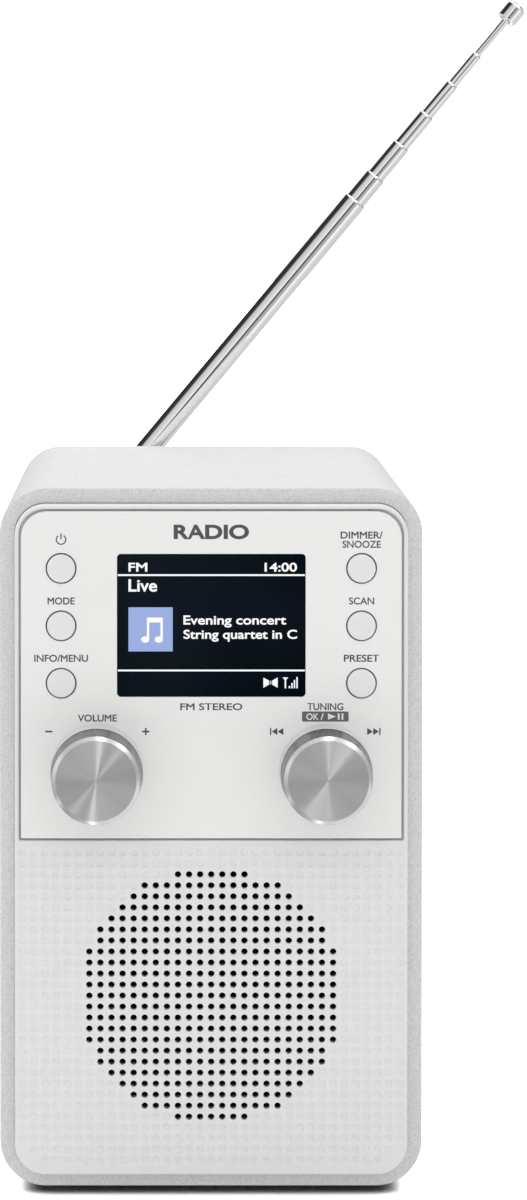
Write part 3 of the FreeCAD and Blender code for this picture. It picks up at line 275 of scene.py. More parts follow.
class Shader(Nodes):
    """A small helper that writes one node material."""

    def __init__(self, name):
        self.material = bpy.data.materials.new(name)
        self.material.use_nodes = True
        super().__init__(self.material.node_tree)
        self.surface = self.tree.nodes["Principled BSDF"]
        self.place = self.node("ShaderNodeTexCoord").outputs["Object"]

    def stretched(self, scale):
        """The place on the object, stretched by three factors."""
        mapping = self.node("ShaderNodeMapping")
        mapping.inputs["Scale"].default_value = scale
        self.link(self.place, mapping.inputs["Vector"])
        return mapping.outputs["Vector"]

    def noise(self, size, detail=3.0, rough=0.55):
        """Noise whose lumps are about size millimetres across."""
        item = self.node("ShaderNodeTexNoise")
        item.inputs["Scale"].default_value = 1 / (size * MM)
        item.inputs["Detail"].default_value = detail
        item.inputs["Roughness"].default_value = rough
        self.link(self.place, item.inputs["Vector"])
        return item.outputs["Fac"]

    def cells(self, size):
        """Round cells about size millimetres across."""
        item = self.node("ShaderNodeTexVoronoi", feature="SMOOTH_F1")
        item.inputs["Scale"].default_value = 1 / (size * MM)
        self.link(self.place, item.inputs["Vector"])
        return item.outputs["Distance"]

    def tones(self, source, dark, light, target="Base Color", start=0.3, stop=0.7):
        """Colour between two tones, by a number."""
        item = self.node("ShaderNodeValToRGB")
        low, high = item.color_ramp.elements
        low.position, high.position = start, stop
        low.color, high.color = (*dark, 1), (*light, 1)
        self.link(source, item.inputs["Fac"])
        self.link(item.outputs["Color"], self.surface.inputs[target])

    def roughness(self, source, low, high):
        """Gloss that varies between two roughnesses, by a number."""
        self.link(self.ramp(source, low, high), self.surface.inputs["Roughness"])

    def bump(self, source, depth):
        """Relief of about depth millimetres."""
        item = self.node("ShaderNodeBump")
        item.inputs["Distance"].default_value = depth * MM
        self.link(source, item.inputs["Height"])
        self.link(item.outputs["Normal"], self.surface.inputs["Normal"])

    def set(self, **values):
        """Values that are the same all over, set on the shader's own sockets."""
        for key, value in values.items():
            self.surface.inputs[key.replace("_", " ")].default_value = value
        return self.material


def grey(level, tint=(1.0, 1.0, 1.0)):
    """A tinted grey."""
    return tuple(level * part for part in tint)


def grained_plastic():
    """Moulded plastic with a fine spark-eroded grain, for the case and its rear cover."""
    made = Shader("case_grain")
    grain = made.maths("ADD", made.cells(0.50), made.noise(0.36, 4.0, 0.7))
    made.tones(grain, grey(0.50), grey(0.62), start=0.55, stop=1.25)
    made.roughness(made.noise(5.0), 0.52, 0.66)
    made.bump(grain, 0.04)
    return made.set(IOR=1.46, Specular_IOR_Level=0.35)


def satin_plastic(name, level, tint, rough, depth=0.008):
    """Smooth moulded plastic: the faintest flow marks in colour, gloss and relief."""
    made = Shader(name)
    made.tones(made.noise(9.0), grey(level * 0.985, tint), grey(level * 1.01, tint))
    made.roughness(made.noise(1.8), rough - 0.04, rough + 0.04)
    made.bump(made.noise(0.9), depth)
    return made.set(IOR=1.47, Specular_IOR_Level=0.4)


def gloss_plastic():
    """Lacquered white plate with a light clear coat."""
    made = Shader("plate_gloss")
    tint = (1.0, 1.0, 0.985)
    made.tones(made.noise(14.0), grey(0.765, tint), grey(0.78, tint))
    made.roughness(made.noise(3.0), 0.30, 0.38)
    made.bump(made.noise(6.0), 0.004)
    return made.set(IOR=1.48, Specular_IOR_Level=0.4, Coat_Weight=0.25, Coat_Roughness=0.12)


def screen_glass():
    """Dark window over the display, with a faint navy glow of the backlight painted into its colour."""
    made = Shader("screen_glass")
    parts = made.node("ShaderNodeSeparateXYZ")
    made.link(made.place, parts.inputs["Vector"])
    # Painted glow: the glass's colour is lighter on the left and darker on the right, for the backlight's uneven
    # light.
    side = made.ramp(parts.outputs["X"], 0.2, -0.25, -0.02, 0.025)
    painted_glow = made.maths("ADD", made.noise(48.0, 1.0), side)
    made.tones(painted_glow, (0.0008, 0.0035, 0.0070), (0.0060, 0.0092, 0.0140), start=0.30, stop=0.70)
    made.roughness(made.noise(2.0), 0.22, 0.30)
    made.bump(made.noise(7.0), 0.002)
    return made.set(IOR=1.45, Specular_IOR_Level=0.01)


def lit(name, colour):
    """Lit part of the display: a fine unevenness keeps it from being flat."""
    made = Shader(name)
    pixels = made.noise(0.25, 1.0)
    shade = tuple(part * 0.92 for part in colour)
    made.tones(pixels, grey(0.03), grey(0.05))
    made.tones(pixels, shade, colour, target="Emission Color")
    made.roughness(pixels, 0.4, 0.6)
    made.bump(pixels, 0.001)
    return made.set(Specular_IOR_Level=0.04, Emission_Strength=1.0)


def ink(name, level, tint=(1.0, 1.0, 1.0)):
    """Screen-printed ink, slightly uneven."""
    made = Shader(name)
    speckle = made.noise(0.18, 3.0)
    made.tones(speckle, grey(level * 0.85, tint), grey(level * 1.15, tint))
    made.roughness(speckle, 0.45, 0.6)
    made.bump(speckle, 0.003)
    return made.set(Specular_IOR_Level=0.3)


def rings_about_axis(made, size):
    """Fine concentric rings about the piece's own axis along Y, from its generated place."""
    source = made.node("ShaderNodeTexCoord").outputs["Generated"]
    mapping = made.node("ShaderNodeMapping")
    mapping.inputs["Location"].default_value = (-0.5, 0.0, -0.5)
    mapping.inputs["Scale"].default_value = (1.0, 0.0, 1.0)
    made.link(source, mapping.inputs["Vector"])
    wave = made.node("ShaderNodeTexWave", wave_type="RINGS", rings_direction="SPHERICAL")
    wave.inputs["Scale"].default_value = size
    wave.inputs["Distortion"].default_value = 1.5
    wave.inputs["Detail"].default_value = 3.0
    wave.inputs["Detail Scale"].default_value = 3.0
    made.link(mapping.outputs["Vector"], wave.inputs["Vector"])
    return wave.outputs["Fac"]


def spun_metal():
    """Spun aluminium: fine turning rings, with the highlight drawn into spokes."""
    made = Shader("spun_aluminium")
    turning = rings_about_axis(made, 26.0)
    made.tones(turning, grey(0.58), grey(0.66), start=0.0, stop=1.0)
    made.roughness(made.noise(0.6, 4.0), 0.30, 0.36)
    made.bump(turning, 0.003)
    tangent = made.node("ShaderNodeTangent", direction_type="RADIAL", axis="Y")
    made.link(tangent.outputs["Tangent"], made.surface.inputs["Tangent"])
    return made.set(Metallic=1.0, Anisotropic=1.0, Anisotropic_Rotation=0.25)


def plated(name, level, rough, size, tint=(1.0, 1.0, 1.0)):
    """Plated or drawn metal: hairlines and faint haze."""
    made = Shader(name)
    haze = made.noise(size, 4.0, 0.6)
    made.tones(haze, grey(level * 0.93, tint), grey(level, tint))
    made.roughness(made.noise(size * 3), rough * 0.8, rough * 1.25)
    made.bump(haze, 0.0015)
    return made.set(Metallic=1.0)


def moulded_black(name, level, rough, size, depth):
    """Dark plastic or rubber with its own grain."""
    made = Shader(name)
    grain = made.noise(size, 4.0, 0.65)
    made.tones(grain, grey(level * 0.7), grey(level * 1.3))
    made.roughness(made.noise(size * 4), rough - 0.08, rough + 0.08)
    made.bump(grain, depth)
    return made.set(Specular_IOR_Level=0.35)


def woven_cloth():
    """Acoustic cloth: two crossed sets of threads."""
    made = Shader("acoustic_cloth")
    threads = []
    for direction in ("X", "Z"):
        wave = made.node("ShaderNodeTexWave", bands_direction=direction)
        wave.inputs["Scale"].default_value = 420.0
        wave.inputs["Distortion"].default_value = 0.6
        made.link(made.place, wave.inputs["Vector"])
        threads.append(wave.outputs["Fac"])
    weave = made.maths("MULTIPLY", threads[0], threads[1])
    made.tones(weave, grey(0.0015), grey(0.006), start=0.0, stop=1.0)
    made.roughness(made.noise(1.5), 0.85, 0.98)
    made.bump(weave, 0.08)
    return made.set(Specular_IOR_Level=0.1)


def circuit_board():
    """Green lacquer over copper tracks."""
    made = Shader("circuit_board")
    tracks = made.node("ShaderNodeTexBrick", offset=0.5)
    tracks.inputs["Scale"].default_value = 260.0
    tracks.inputs["Mortar Size"].default_value = 0.03
    tracks.inputs["Color1"].default_value = (0.010, 0.085, 0.035, 1)
    tracks.inputs["Color2"].default_value = (0.014, 0.110, 0.045, 1)
    tracks.inputs["Mortar"].default_value = (0.060, 0.260, 0.120, 1)
    made.link(made.stretched((1.0, 1.0, 0.35)), tracks.inputs["Vector"])
    made.link(tracks.outputs["Color"], made.surface.inputs["Base Color"])
    made.roughness(made.noise(3.0), 0.28, 0.42)
    made.bump(tracks.outputs["Fac"], 0.03)
    return made.set(Specular_IOR_Level=0.5)


MATERIALS = {
    "textured_grey": grained_plastic(),
    "matt_white": satin_plastic("frame_satin", 0.69, (1.0, 1.0, 1.012), 0.55),
    "gloss_white": gloss_plastic(),
    "light_grey": satin_plastic("collar_grey", 0.62, (1.0, 1.0, 1.0), 0.4),
    "matt_grey": satin_plastic("inner_grey", 0.30, (1.0, 1.0, 1.0), 0.6, 0.02),
    "display_glass": screen_glass(),
    "black_rubber": moulded_black("rubber", 0.018, 0.8, 0.7, 0.04),
    "black_plastic": moulded_black("black_plastic", 0.016, 0.45, 1.2, 0.015),
    "black_cloth": woven_cloth(),
    "board_green": circuit_board(),
    "zinc_plate": plated("zinc_plate", 0.62, 0.38, 1.2, (0.98, 1.0, 1.03)),
    "black_steel": plated("black_steel", 0.06, 0.42, 0.8),
    "ferrite": moulded_black("ferrite", 0.030, 0.55, 0.35, 0.03),
    "copper": plated("copper", 0.80, 0.3, 0.4, (1.0, 0.56, 0.38)),
    "spun_aluminium": spun_metal(),
    "chrome": plated("chrome", 0.90, 0.045, 0.9),
}
BEVEL_METAL = plated("bevel_metal", 0.70, 0.20, 0.4)
# Painted shade: the knobs' fluted sides take a far darker metal than their faces, for the shade that lies on them.
SHADED_FLUTE_METAL = plated("flute_metal_painted_shade", 0.25, 0.30, 0.4)
BUTTON_WHITE = satin_plastic("button_satin", 0.72, (1.0, 0.985, 0.985), 0.42)
LEGEND_INK = ink("legend_ink", 0.075, (1.0, 1.0, 0.98))
BADGE_INK = ink("badge_ink", 0.12, (1.0, 1.0, 0.97))
REVERSED_INK = ink("reversed_ink", 0.74)
SCREEN_WHITE = lit("screen_white", (1.0, 1.0, 1.0))
SCREEN_BLUE = lit("screen_blue", (0.300, 0.408, 0.742))

for part in frame["record"]["subparts"]:
    shown = frame["nodes"][part["node"]]
    shown.data.materials.clear()
    shown.data.materials.append(MATERIALS[part["material_slot"]])

# ---------------------------------------------------------------- front frame and grille

FRAME_EDGE = 0.5
RECESS_GAP = 0.6
RECESS_EDGE = 0.3
SKIRT_WALL = 2.0
FRAME_CORNER = 8.1
PLATE_CORNER = 7.0
PLATE_FOOT_CORNER = 0.4
BUTTON_HOLE = 4.1
BUSHING_HOLE = 4.65
WINDOW_OPENING_PLAY = 0.2
WINDOW_OPENING_CORNER = 0.5
PITCH = 2.95
HOLE_RADIUS = 0.85
SOUND_RADIUS = 34.8
SHORT_ROW = (11, 4)
# The panel's cells: rows and columns from the middle of the sound holes, and the rows with cut corners.
CELL_ROWS = range(-15, 14)
CELL_REACH = 17
CORNER_REACH = {-15: 15, -14: 16}
# A cell is drawn on a grid of CELL steps; its border path and its rings start at the same corner.
CELL = 6
CELL_PATH = ([(3, k - 3) for k in range(CELL)] + [(3 - k, 3) for k in range(CELL)]
             + [(-3, 3 - k) for k in range(CELL)] + [(k - 3, -3) for k in range(CELL)])
CELL_TURNS = [math.radians(90 * k / CELL - 45) for k in range(4 * CELL)]
# Radius and depth of the rings down a sound hole, which opens out behind the skin, and down a dimple.
HOLE_STEPS = ((1.00, 0.0), (0.93, 0.03), (0.87, 0.10), (HOLE_RADIUS, 0.22),
              (HOLE_RADIUS, 0.60), (1.30, 0.80))
DIMPLE_STEPS = ((0.96, 0.0), (0.91, 0.03), (0.86, 0.11), (0.80, 0.18), (0.70, 0.20))


def dimple_cells():
    """Columns and rows of the square grid that the lower panel carries, corners left out."""
    for row in CELL_ROWS:
        reach = CORNER_REACH.get(row, CELL_REACH)
        for column in range(-reach, reach + 1):
            yield column, row


def sound_hole(column, row):
    """Whether a cell is a hole and not a dimple; the top and bottom rows stop one cell short."""
    return math.hypot(column, row) * PITCH <= SOUND_RADIUS and (abs(row), abs(column)) != SHORT_ROW


def control_holes():
    """Outlines of the openings for the buttons and the knobs' bushings."""
    holes = [round_hole(BUTTON_HOLE, middle(name).x, middle(name).z) for name in BUTTONS]
    holes += [round_hole(BUSHING_HOLE, middle(side + "_knob").x, middle(side + "_knob").z)
              for side in KNOBS]
    return holes


def make_front_frame():
    """One closed mesh: rounded rim, plate recess, dimpled panel with the sound holes, and skirt."""
    bm = bmesh.new()
    size = FRAME_HIGH - FRAME_LOW
    centre = (FRAME_LOW + FRAME_HIGH) / 2
    front = FRAME_LOW.y
    outer = rounded(size.x, size.z, centre.x, centre.z, FRAME_CORNER)
    rim = edge_rings(bm, outer, front, FRAME_EDGE, True)
    rim.append(loop(bm, outer(0), FRAME_HIGH.y))
    rim.append(loop(bm, outer(-SKIRT_WALL), FRAME_HIGH.y))
    rim.append(loop(bm, outer(-SKIRT_WALL), WALL_BACK))
    bands(bm, rim)

    plate = PLATE_HIGH - PLATE_LOW
    plate_mid = (PLATE_LOW + PLATE_HIGH) / 2
    recess = rounded(plate.x + 2 * RECESS_GAP, plate.z + 2 * RECESS_GAP, plate_mid.x, plate_mid.z,
                     PLATE_CORNER, PLATE_FOOT_CORNER)
    well = edge_rings(bm, recess, front, RECESS_EDGE, False)
    well.append(loop(bm, recess(0), PLATE_BACK))
    bands(bm, well)
    floors, backs = [well[-1]], [rim[-1]]
    window = WINDOW_HIGH - WINDOW_LOW
    opening = rounded(window.x + WINDOW_OPENING_PLAY, window.z + WINDOW_OPENING_PLAY,
                      WINDOW_MID.x, WINDOW_MID.z, WINDOW_OPENING_CORNER)
    for hole in [*control_holes(), opening]:
        floors.append(loop(bm, hole(0), PLATE_BACK))
        backs.append(loop(bm, hole(0), WALL_BACK))
        strip(bm, floors[-1], backs[-1])
    fill(bm, floors)

    grid = {}

    def grid_vertex(a, b, y):
        """The vertex at that step of the cell grid, shared by all the cells that meet there."""
        if (a, b, y) not in grid:
            place = (centre.x + a * PITCH / CELL, y, GRILLE_Z + b * PITCH / CELL)
            grid[a, b, y] = bm.verts.new(place)
        return grid[a, b, y]

    reach = int(SOUND_RADIUS / PITCH) + 1
    for column, row in dimple_cells():
        path = [(CELL * column + a, CELL * row + b) for a, b in CELL_PATH]
        through = sound_hole(column, row)
        steps = [(r, front + depth) for r, depth in (HOLE_STEPS if through else DIMPLE_STEPS)]
        if through:
            steps.append((steps[-1][0], WALL_BACK))
        rings = [[grid_vertex(a, b, front) for a, b in path]]
        for radius, y in steps:
            points = [(centre.x + column * PITCH + radius * math.cos(turn),
                       GRILLE_Z + row * PITCH + radius * math.sin(turn)) for turn in CELL_TURNS]
            rings.append(loop(bm, points, y))
        bands(bm, rings)
        if not through:
            bm.faces.new(rings[-1])
        if max(abs(column), abs(row)) <= reach:
            behind = [grid_vertex(a, b, WALL_BACK) for a, b in path]
            if through:
                strip(bm, rings[-1], behind)
            else:
                bm.faces.new(behind)
    corners = set(grid.values())
    borders = [edge for edge in bm.edges if len(edge.link_faces) == 1 and corners.issuperset(edge.verts)]
    divide = (front + WALL_BACK) / 2
    fill(bm, [rim[0], well[0]], [edge for edge in borders if edge.verts[0].co.y < divide])
    fill(bm, backs, [edge for edge in borders if edge.verts[0].co.y > divide])
    add(bm, "front_frame_moulding", "radio", MATERIALS["matt_white"], ["front_frame"])


# ---------------------------------------------------------------- control plate, buttons, display

PLATE_EDGE = 0.28
WINDOW_CORNER = 0.95
WINDOW_FACE = (49.9, 37.9)
WINDOW_FIT = 0.1
WINDOW_EDGE = 0.12
WINDOW_FLANGE_CORNER = 0.3
BUTTON_RADIUS = 3.75
BUTTON_EDGE = 0.4
STEM_RADIUS = 1.6
FLANGE_THICKNESS = 1.0
FLANGE_PLAY = 0.1


def make_control_plate():
    """The lacquered plate, with eased edges that catch the light."""
    bm = bmesh.new()
    size = PLATE_HIGH - PLATE_LOW
    mid = (PLATE_LOW + PLATE_HIGH) / 2
    outline = rounded(size.x, size.z, mid.x, mid.z, PLATE_CORNER, PLATE_FOOT_CORNER)
    holes = control_holes()
    holes.append(rounded(WINDOW_FACE[0] + 2 * WINDOW_FIT, WINDOW_FACE[1] + 2 * WINDOW_FIT,
                         WINDOW_MID.x, WINDOW_MID.z, WINDOW_CORNER + WINDOW_FIT))
    slab(bm, outline, PLATE_FRONT, PLATE_BACK, PLATE_EDGE, holes)
    add(bm, "control_plate_lacquered", "radio", MATERIALS["gloss_white"],
        ["control_plate"])


def make_window():
    """The display window: a raised face and the flange that holds it behind the frame."""
    bm = bmesh.new()
    face = rounded(*WINDOW_FACE, WINDOW_MID.x, WINDOW_MID.z, WINDOW_CORNER)
    size = WINDOW_HIGH - WINDOW_LOW
    flange = rounded(size.x, size.z, WINDOW_MID.x, WINDOW_MID.z, WINDOW_FLANGE_CORNER)
    rings = edge_rings(bm, face, WINDOW_LOW.y, WINDOW_EDGE, True)
    rings += [loop(bm, face(0), PLATE_BACK), loop(bm, flange(0), PLATE_BACK),
              loop(bm, flange(0), WINDOW_HIGH.y)]
    bands(bm, rings)
    bm.faces.new(rings[0])
    bm.faces.new(rings[-1])
    add(bm, "display_window_glass", "radio", MATERIALS["display_glass"],
        ["display_window"])


def make_buttons():
    """Six caps with softly rounded faces, retaining flanges and stems."""
    for name in BUTTONS:
        low, high = box(name)
        mid, flange = (low + high) / 2, (high.x - low.x) / 2
        seat = WALL_BACK + FLANGE_PLAY
        profile = [(0, low.y), (BUTTON_RADIUS * 0.55, low.y), (BUTTON_RADIUS - BUTTON_EDGE, low.y)]
        profile += arc(BUTTON_EDGE, BUTTON_RADIUS - BUTTON_EDGE, low.y + BUTTON_EDGE, -75, 0)
        profile += [(BUTTON_RADIUS, seat), (flange, seat), (flange, seat + FLANGE_THICKNESS),
                    (STEM_RADIUS, seat + FLANGE_THICKNESS), (STEM_RADIUS, high.y), (0, high.y)]
        bm = bmesh.new()
        lathe(bm, profile, mid.x, mid.z, 72)
        add(bm, name + "_cap", name, BUTTON_WHITE, [name])


COLLAR_WALL = 2.2
COLLAR_EDGE = 0.4
COLLAR_BORE_EDGE = 0.2
# Painted shade: a thin black ring on each collar's face, under the knob's back rim, darkens the gap between knob
# and collar.
# Inner radius, outer radius and thickness.
SHADE_RING = (10.3, 11.85, 0.1)


def make_collars():
    """The raised rings that the knobs turn over, each with a thin black ring on its face as painted shade for the
    gap under the knob.
    """
    for side in KNOBS:
        low, high = box(side + "_collar")
        mid, radius = (low + high) / 2, (high.x - low.x) / 2
        bore = radius - COLLAR_WALL
        profile = [(bore, high.y), (bore, low.y + COLLAR_BORE_EDGE), (bore + COLLAR_BORE_EDGE, low.y)]
        profile += arc(COLLAR_EDGE, radius - COLLAR_EDGE, low.y + COLLAR_EDGE, -90, 0)
        profile.append((radius, high.y))
        bm = bmesh.new()
        closed_lathe(bm, profile, x=mid.x, z=mid.z, steps=128)
        add(bm, side + "_collar_ring", "radio", MATERIALS["light_grey"],
            [side + "_collar"])
        inner, outer, thickness = SHADE_RING
        shade_ring = bmesh.new()
        closed_lathe(shade_ring, [(inner, low.y), (inner, low.y - thickness), (outer, low.y - thickness),
                            (outer, low.y)], x=mid.x, z=mid.z)
        add(shade_ring, side + "_shade_ring", "radio", MATERIALS["black_cloth"])


KNOB_FACE = 10.55
KNOB_FRONT_RADIUS = 11.64
KNOB_CHAMFER = 0.545
KNOB_WALL = 1.0
KNOB_FOOT = 0.5
TEETH = 150
TOOTH = 0.10


def make_knobs():
    """Spun cups: turned face, diamond-cut bevel and a finely fluted, slightly tapered side. The fluted side is
    darkened and the back rim is black, both as painted shade.
    """
    for side in KNOBS:
        low, high = box(side + "_knob")
        mid, radius = (low + high) / 2, (high.x - low.x) / 2
        inside = low.y + KNOB_WALL + KNOB_CHAMFER
        bevel_end = low.y + KNOB_CHAMFER
        flutes = (bevel_end + 0.55, bevel_end + 0.75, high.y - KNOB_FOOT - 0.2, high.y - KNOB_FOOT)
        profile = [(0, low.y), (KNOB_FACE * 0.35, low.y), (KNOB_FACE * 0.7, low.y),
                   (KNOB_FACE - 0.04, low.y), (KNOB_FACE + 0.02, low.y + 0.02),
                   (KNOB_FRONT_RADIUS - 0.05, bevel_end - 0.04), (KNOB_FRONT_RADIUS, bevel_end + 0.06)]
        first = len(profile)
        for y in flutes:
            share = (y - bevel_end) / (high.y - bevel_end)
            profile.append((KNOB_FRONT_RADIUS + (radius - KNOB_FRONT_RADIUS) * share, y))
        profile += [(radius, high.y - 0.12), (radius - 0.12, high.y), (radius - KNOB_WALL, high.y),
                    (KNOB_FRONT_RADIUS - KNOB_WALL, inside), (0, inside)]
        bm = bmesh.new()
        lathe(bm, profile, mid.x, mid.z, 2 * TEETH, (first + 1, first + 2), TOOTH)
        # Painted shade: the flutes take the darkened metal, and the back rim of the cup is black plastic for the
        # gap between knob and collar.
        accents = ((BEVEL_METAL, low.y + 0.01, bevel_end), (SHADED_FLUTE_METAL, bevel_end, high.y - KNOB_FOOT),
                   (MATERIALS["black_plastic"], high.y - KNOB_FOOT, high.y + 1))
        add(bm, side + "_knob_cup", side + "_knob", MATERIALS["spun_aluminium"],
            [side + "_knob"], 25.0, accents)


# ---------------------------------------------------------------- printed and lit lettering

PRINT_LIFT = 0.02
PRINT_DEPTH = 0.02
SHARPEST = 1.4


def lettering(text):
    """The outlines of a word as flat mesh data, in Blender's own typeface."""
    curve = bpy.data.curves.new("word", "FONT")
    curve.body = text
    curve.resolution_u = 6
    item = bpy.data.objects.new("word", curve)
    bpy.context.scene.collection.objects.link(item)
    bpy.context.view_layer.update()
    view = bpy.context.evaluated_depsgraph_get()
    mesh = bpy.data.meshes.new_from_object(item.evaluated_get(view))
    bpy.data.objects.remove(item)
    return mesh


def embolden(letters, weight):
    """Moves the letters' outlines outwards by a weight."""
    shifts = {}
    for vertex in letters.verts:
        total = Vector((0, 0, 0))
        for edge in vertex.link_edges:
            if edge.is_boundary:
                across = (edge.verts[1].co - edge.verts[0].co).cross(Vector((0, 0, 1))).normalized()
                outside = (edge.verts[0].co - edge.link_faces[0].calc_center_median()).dot(across)
                total += across if outside > 0 else -across
        shifts[vertex] = total * weight * 2 / max(total.length_squared, SHARPEST)
    for vertex, shift in shifts.items():
        vertex.co += shift


class Print:
    """Raised lettering and signs on one plane, gathered into one piece."""

    def __init__(self, surface_y):
        self.bm = bmesh.new()
        self.front = surface_y - PRINT_LIFT

    def word(self, text, x, z, cap, width, anchor="CENTRE", weight=0.020):
        """A word whose letters are cap high, its baseline at z, squeezed to a width."""
        letters = bmesh.new()
        letters.from_mesh(lettering(text))
        bmesh.ops.remove_doubles(letters, verts=letters.verts, dist=1e-5)
        embolden(letters, weight)
        capital = max(v.co.y for v in letters.verts)
        left = min(v.co.x for v in letters.verts)
        right = max(v.co.x for v in letters.verts)
        start = {"LEFT": x, "CENTRE": x - width / 2, "RIGHT": x - width}[anchor]
        for vertex in letters.verts:
            along = start + (vertex.co.x - left) * width / (right - left)
            vertex.co = (along, self.front, z + vertex.co.y * cap / capital)
        self.raise_from(letters)

    def outline(self, points):
        """A filled sign with straight sides."""
        sign = bmesh.new()
        sign.faces.new([sign.verts.new((x, self.front, z)) for x, z in points])
        self.raise_from(sign)

    def bar(self, x, z, width, height, corner=0.0):
        """A filled rectangle about a centre."""
        if corner:
            self.outline(rounded(width, height, x, z, corner)(0))
            return
        half_w, half_h = width / 2, height / 2
        self.outline([(x - half_w, z - half_h), (x + half_w, z - half_h),
                      (x + half_w, z + half_h), (x - half_w, z + half_h)])

    def arc_band(self, x, z, radius, width, start, stop):
        """A band along an arc, with angles in degrees."""
        turns = [math.radians(start + (stop - start) * step / BAND_STEPS) for step in range(BAND_STEPS + 1)]
        outer = [(x + (radius + width / 2) * math.cos(a), z + (radius + width / 2) * math.sin(a))
                 for a in turns]
        inner = [(x + (radius - width / 2) * math.cos(a), z + (radius - width / 2) * math.sin(a))
                 for a in reversed(turns)]
        self.outline(outer + inner)

    def raise_from(self, flat):
        """Gives flat faces their thickness and adds them to the piece."""
        bmesh.ops.recalc_face_normals(flat, faces=flat.faces)
        grown = bmesh.ops.extrude_face_region(flat, geom=flat.faces[:])
        moved = [item for item in grown["geom"] if isinstance(item, bmesh.types.BMVert)]
        bmesh.ops.translate(flat, verts=moved, vec=(0, PRINT_DEPTH, 0))
        mesh = bpy.data.meshes.new("print")
        flat.to_mesh(mesh)
        flat.free()
        self.bm.from_mesh(mesh)
        bpy.data.meshes.remove(mesh)

    def finish(self, name, material):
        add(self.bm, name, "radio", material)


CAP_HEIGHT = 1.85
LABELS = (
    # text, node it stands over, rise of its baseline above that node's centre, width
    ("MODE", "mode_button", 5.75, 7.2),
    ("INFO/MENU", "menu_button", 5.8, 14.3),
    ("DIMMER/", "snooze_button", 8.0, 11.2),
    ("SNOOZE", "snooze_button", 5.55, 10.2),
    ("SCAN", "scan_button", 5.75, 6.7),
    ("PRESET", "preset_button", 5.8, 9.4),
    ("VOLUME", "volume_knob", 12.75, 10.4),
    ("TUNING", "tuning_knob", 15.8, 9.6),
)
SIGN_REACH = 12.9
SIGN_RISE = 10.05
BADGE_RISE = 14.05
BADGE_SIZE = (12.4, 2.7)


def make_legends():
    """Words and signs printed on the control plate. The words are common function names."""
    legends = Print(PLATE_FRONT)
    for text, node, rise, width in LABELS:
        mid = middle(node)
        legends.word(text, mid.x, mid.z + rise, CAP_HEIGHT, width)
    legends.word("RADIO", WINDOW_MID.x, WINDOW_MID.z + 23.2, 3.7, 20.0, weight=0.036)
    legends.word("FM STEREO", WINDOW_MID.x, WINDOW_MID.z - 22.5, 1.8, 16.5)

    power = middle("power_button")
    legends.arc_band(power.x, power.z + 7.7, 1.25, 0.32, 125, 415)
    legends.bar(power.x, power.z + 8.55, 0.34, 1.5)
    volume = middle("volume_knob")
    for way in (-1, 1):
        legends.bar(volume.x + way * SIGN_REACH, volume.z + SIGN_RISE, 1.9, 0.45)
        legends.bar(volume.x + SIGN_REACH, volume.z + SIGN_RISE + way * 0.585, 0.45, 0.72)

    tuning = middle("tuning_knob")
    for way in (-1, 1):
        mid_x, mid_z = tuning.x + way * SIGN_REACH, tuning.z + SIGN_RISE
        legends.bar(mid_x + way * 1.62, mid_z, 0.36, 1.95)
        for start in (-1.75, -0.15):
            legends.outline([(mid_x + way * start, mid_z - 0.95), (mid_x + way * (start + 1.5), mid_z),
                             (mid_x + way * start, mid_z + 0.95)])
    legends.finish("printed_legends", LEGEND_INK)

    badge = Print(PLATE_FRONT)
    badge.bar(tuning.x, tuning.z + BADGE_RISE, *BADGE_SIZE, corner=0.45)
    badge.finish("printed_badge", BADGE_INK)
    reversed_out = Print(PLATE_FRONT - PRINT_LIFT)
    left, foot = tuning.x - BADGE_SIZE[0] / 2, tuning.z + BADGE_RISE - 0.85
    reversed_out.word("OK", left + 1.15, foot, 1.7, 3.3, "LEFT")
    reversed_out.word("/", left + 4.9, foot, 1.7, 0.9, "LEFT")
    reversed_out.outline([(left + 6.9, foot), (left + 9.0, foot + 0.85), (left + 6.9, foot + 1.7)])
    for start in (9.75, 10.75):
        reversed_out.bar(left + start, foot + 0.85, 0.5, 1.7)
    reversed_out.finish("printed_badge_signs", REVERSED_INK)


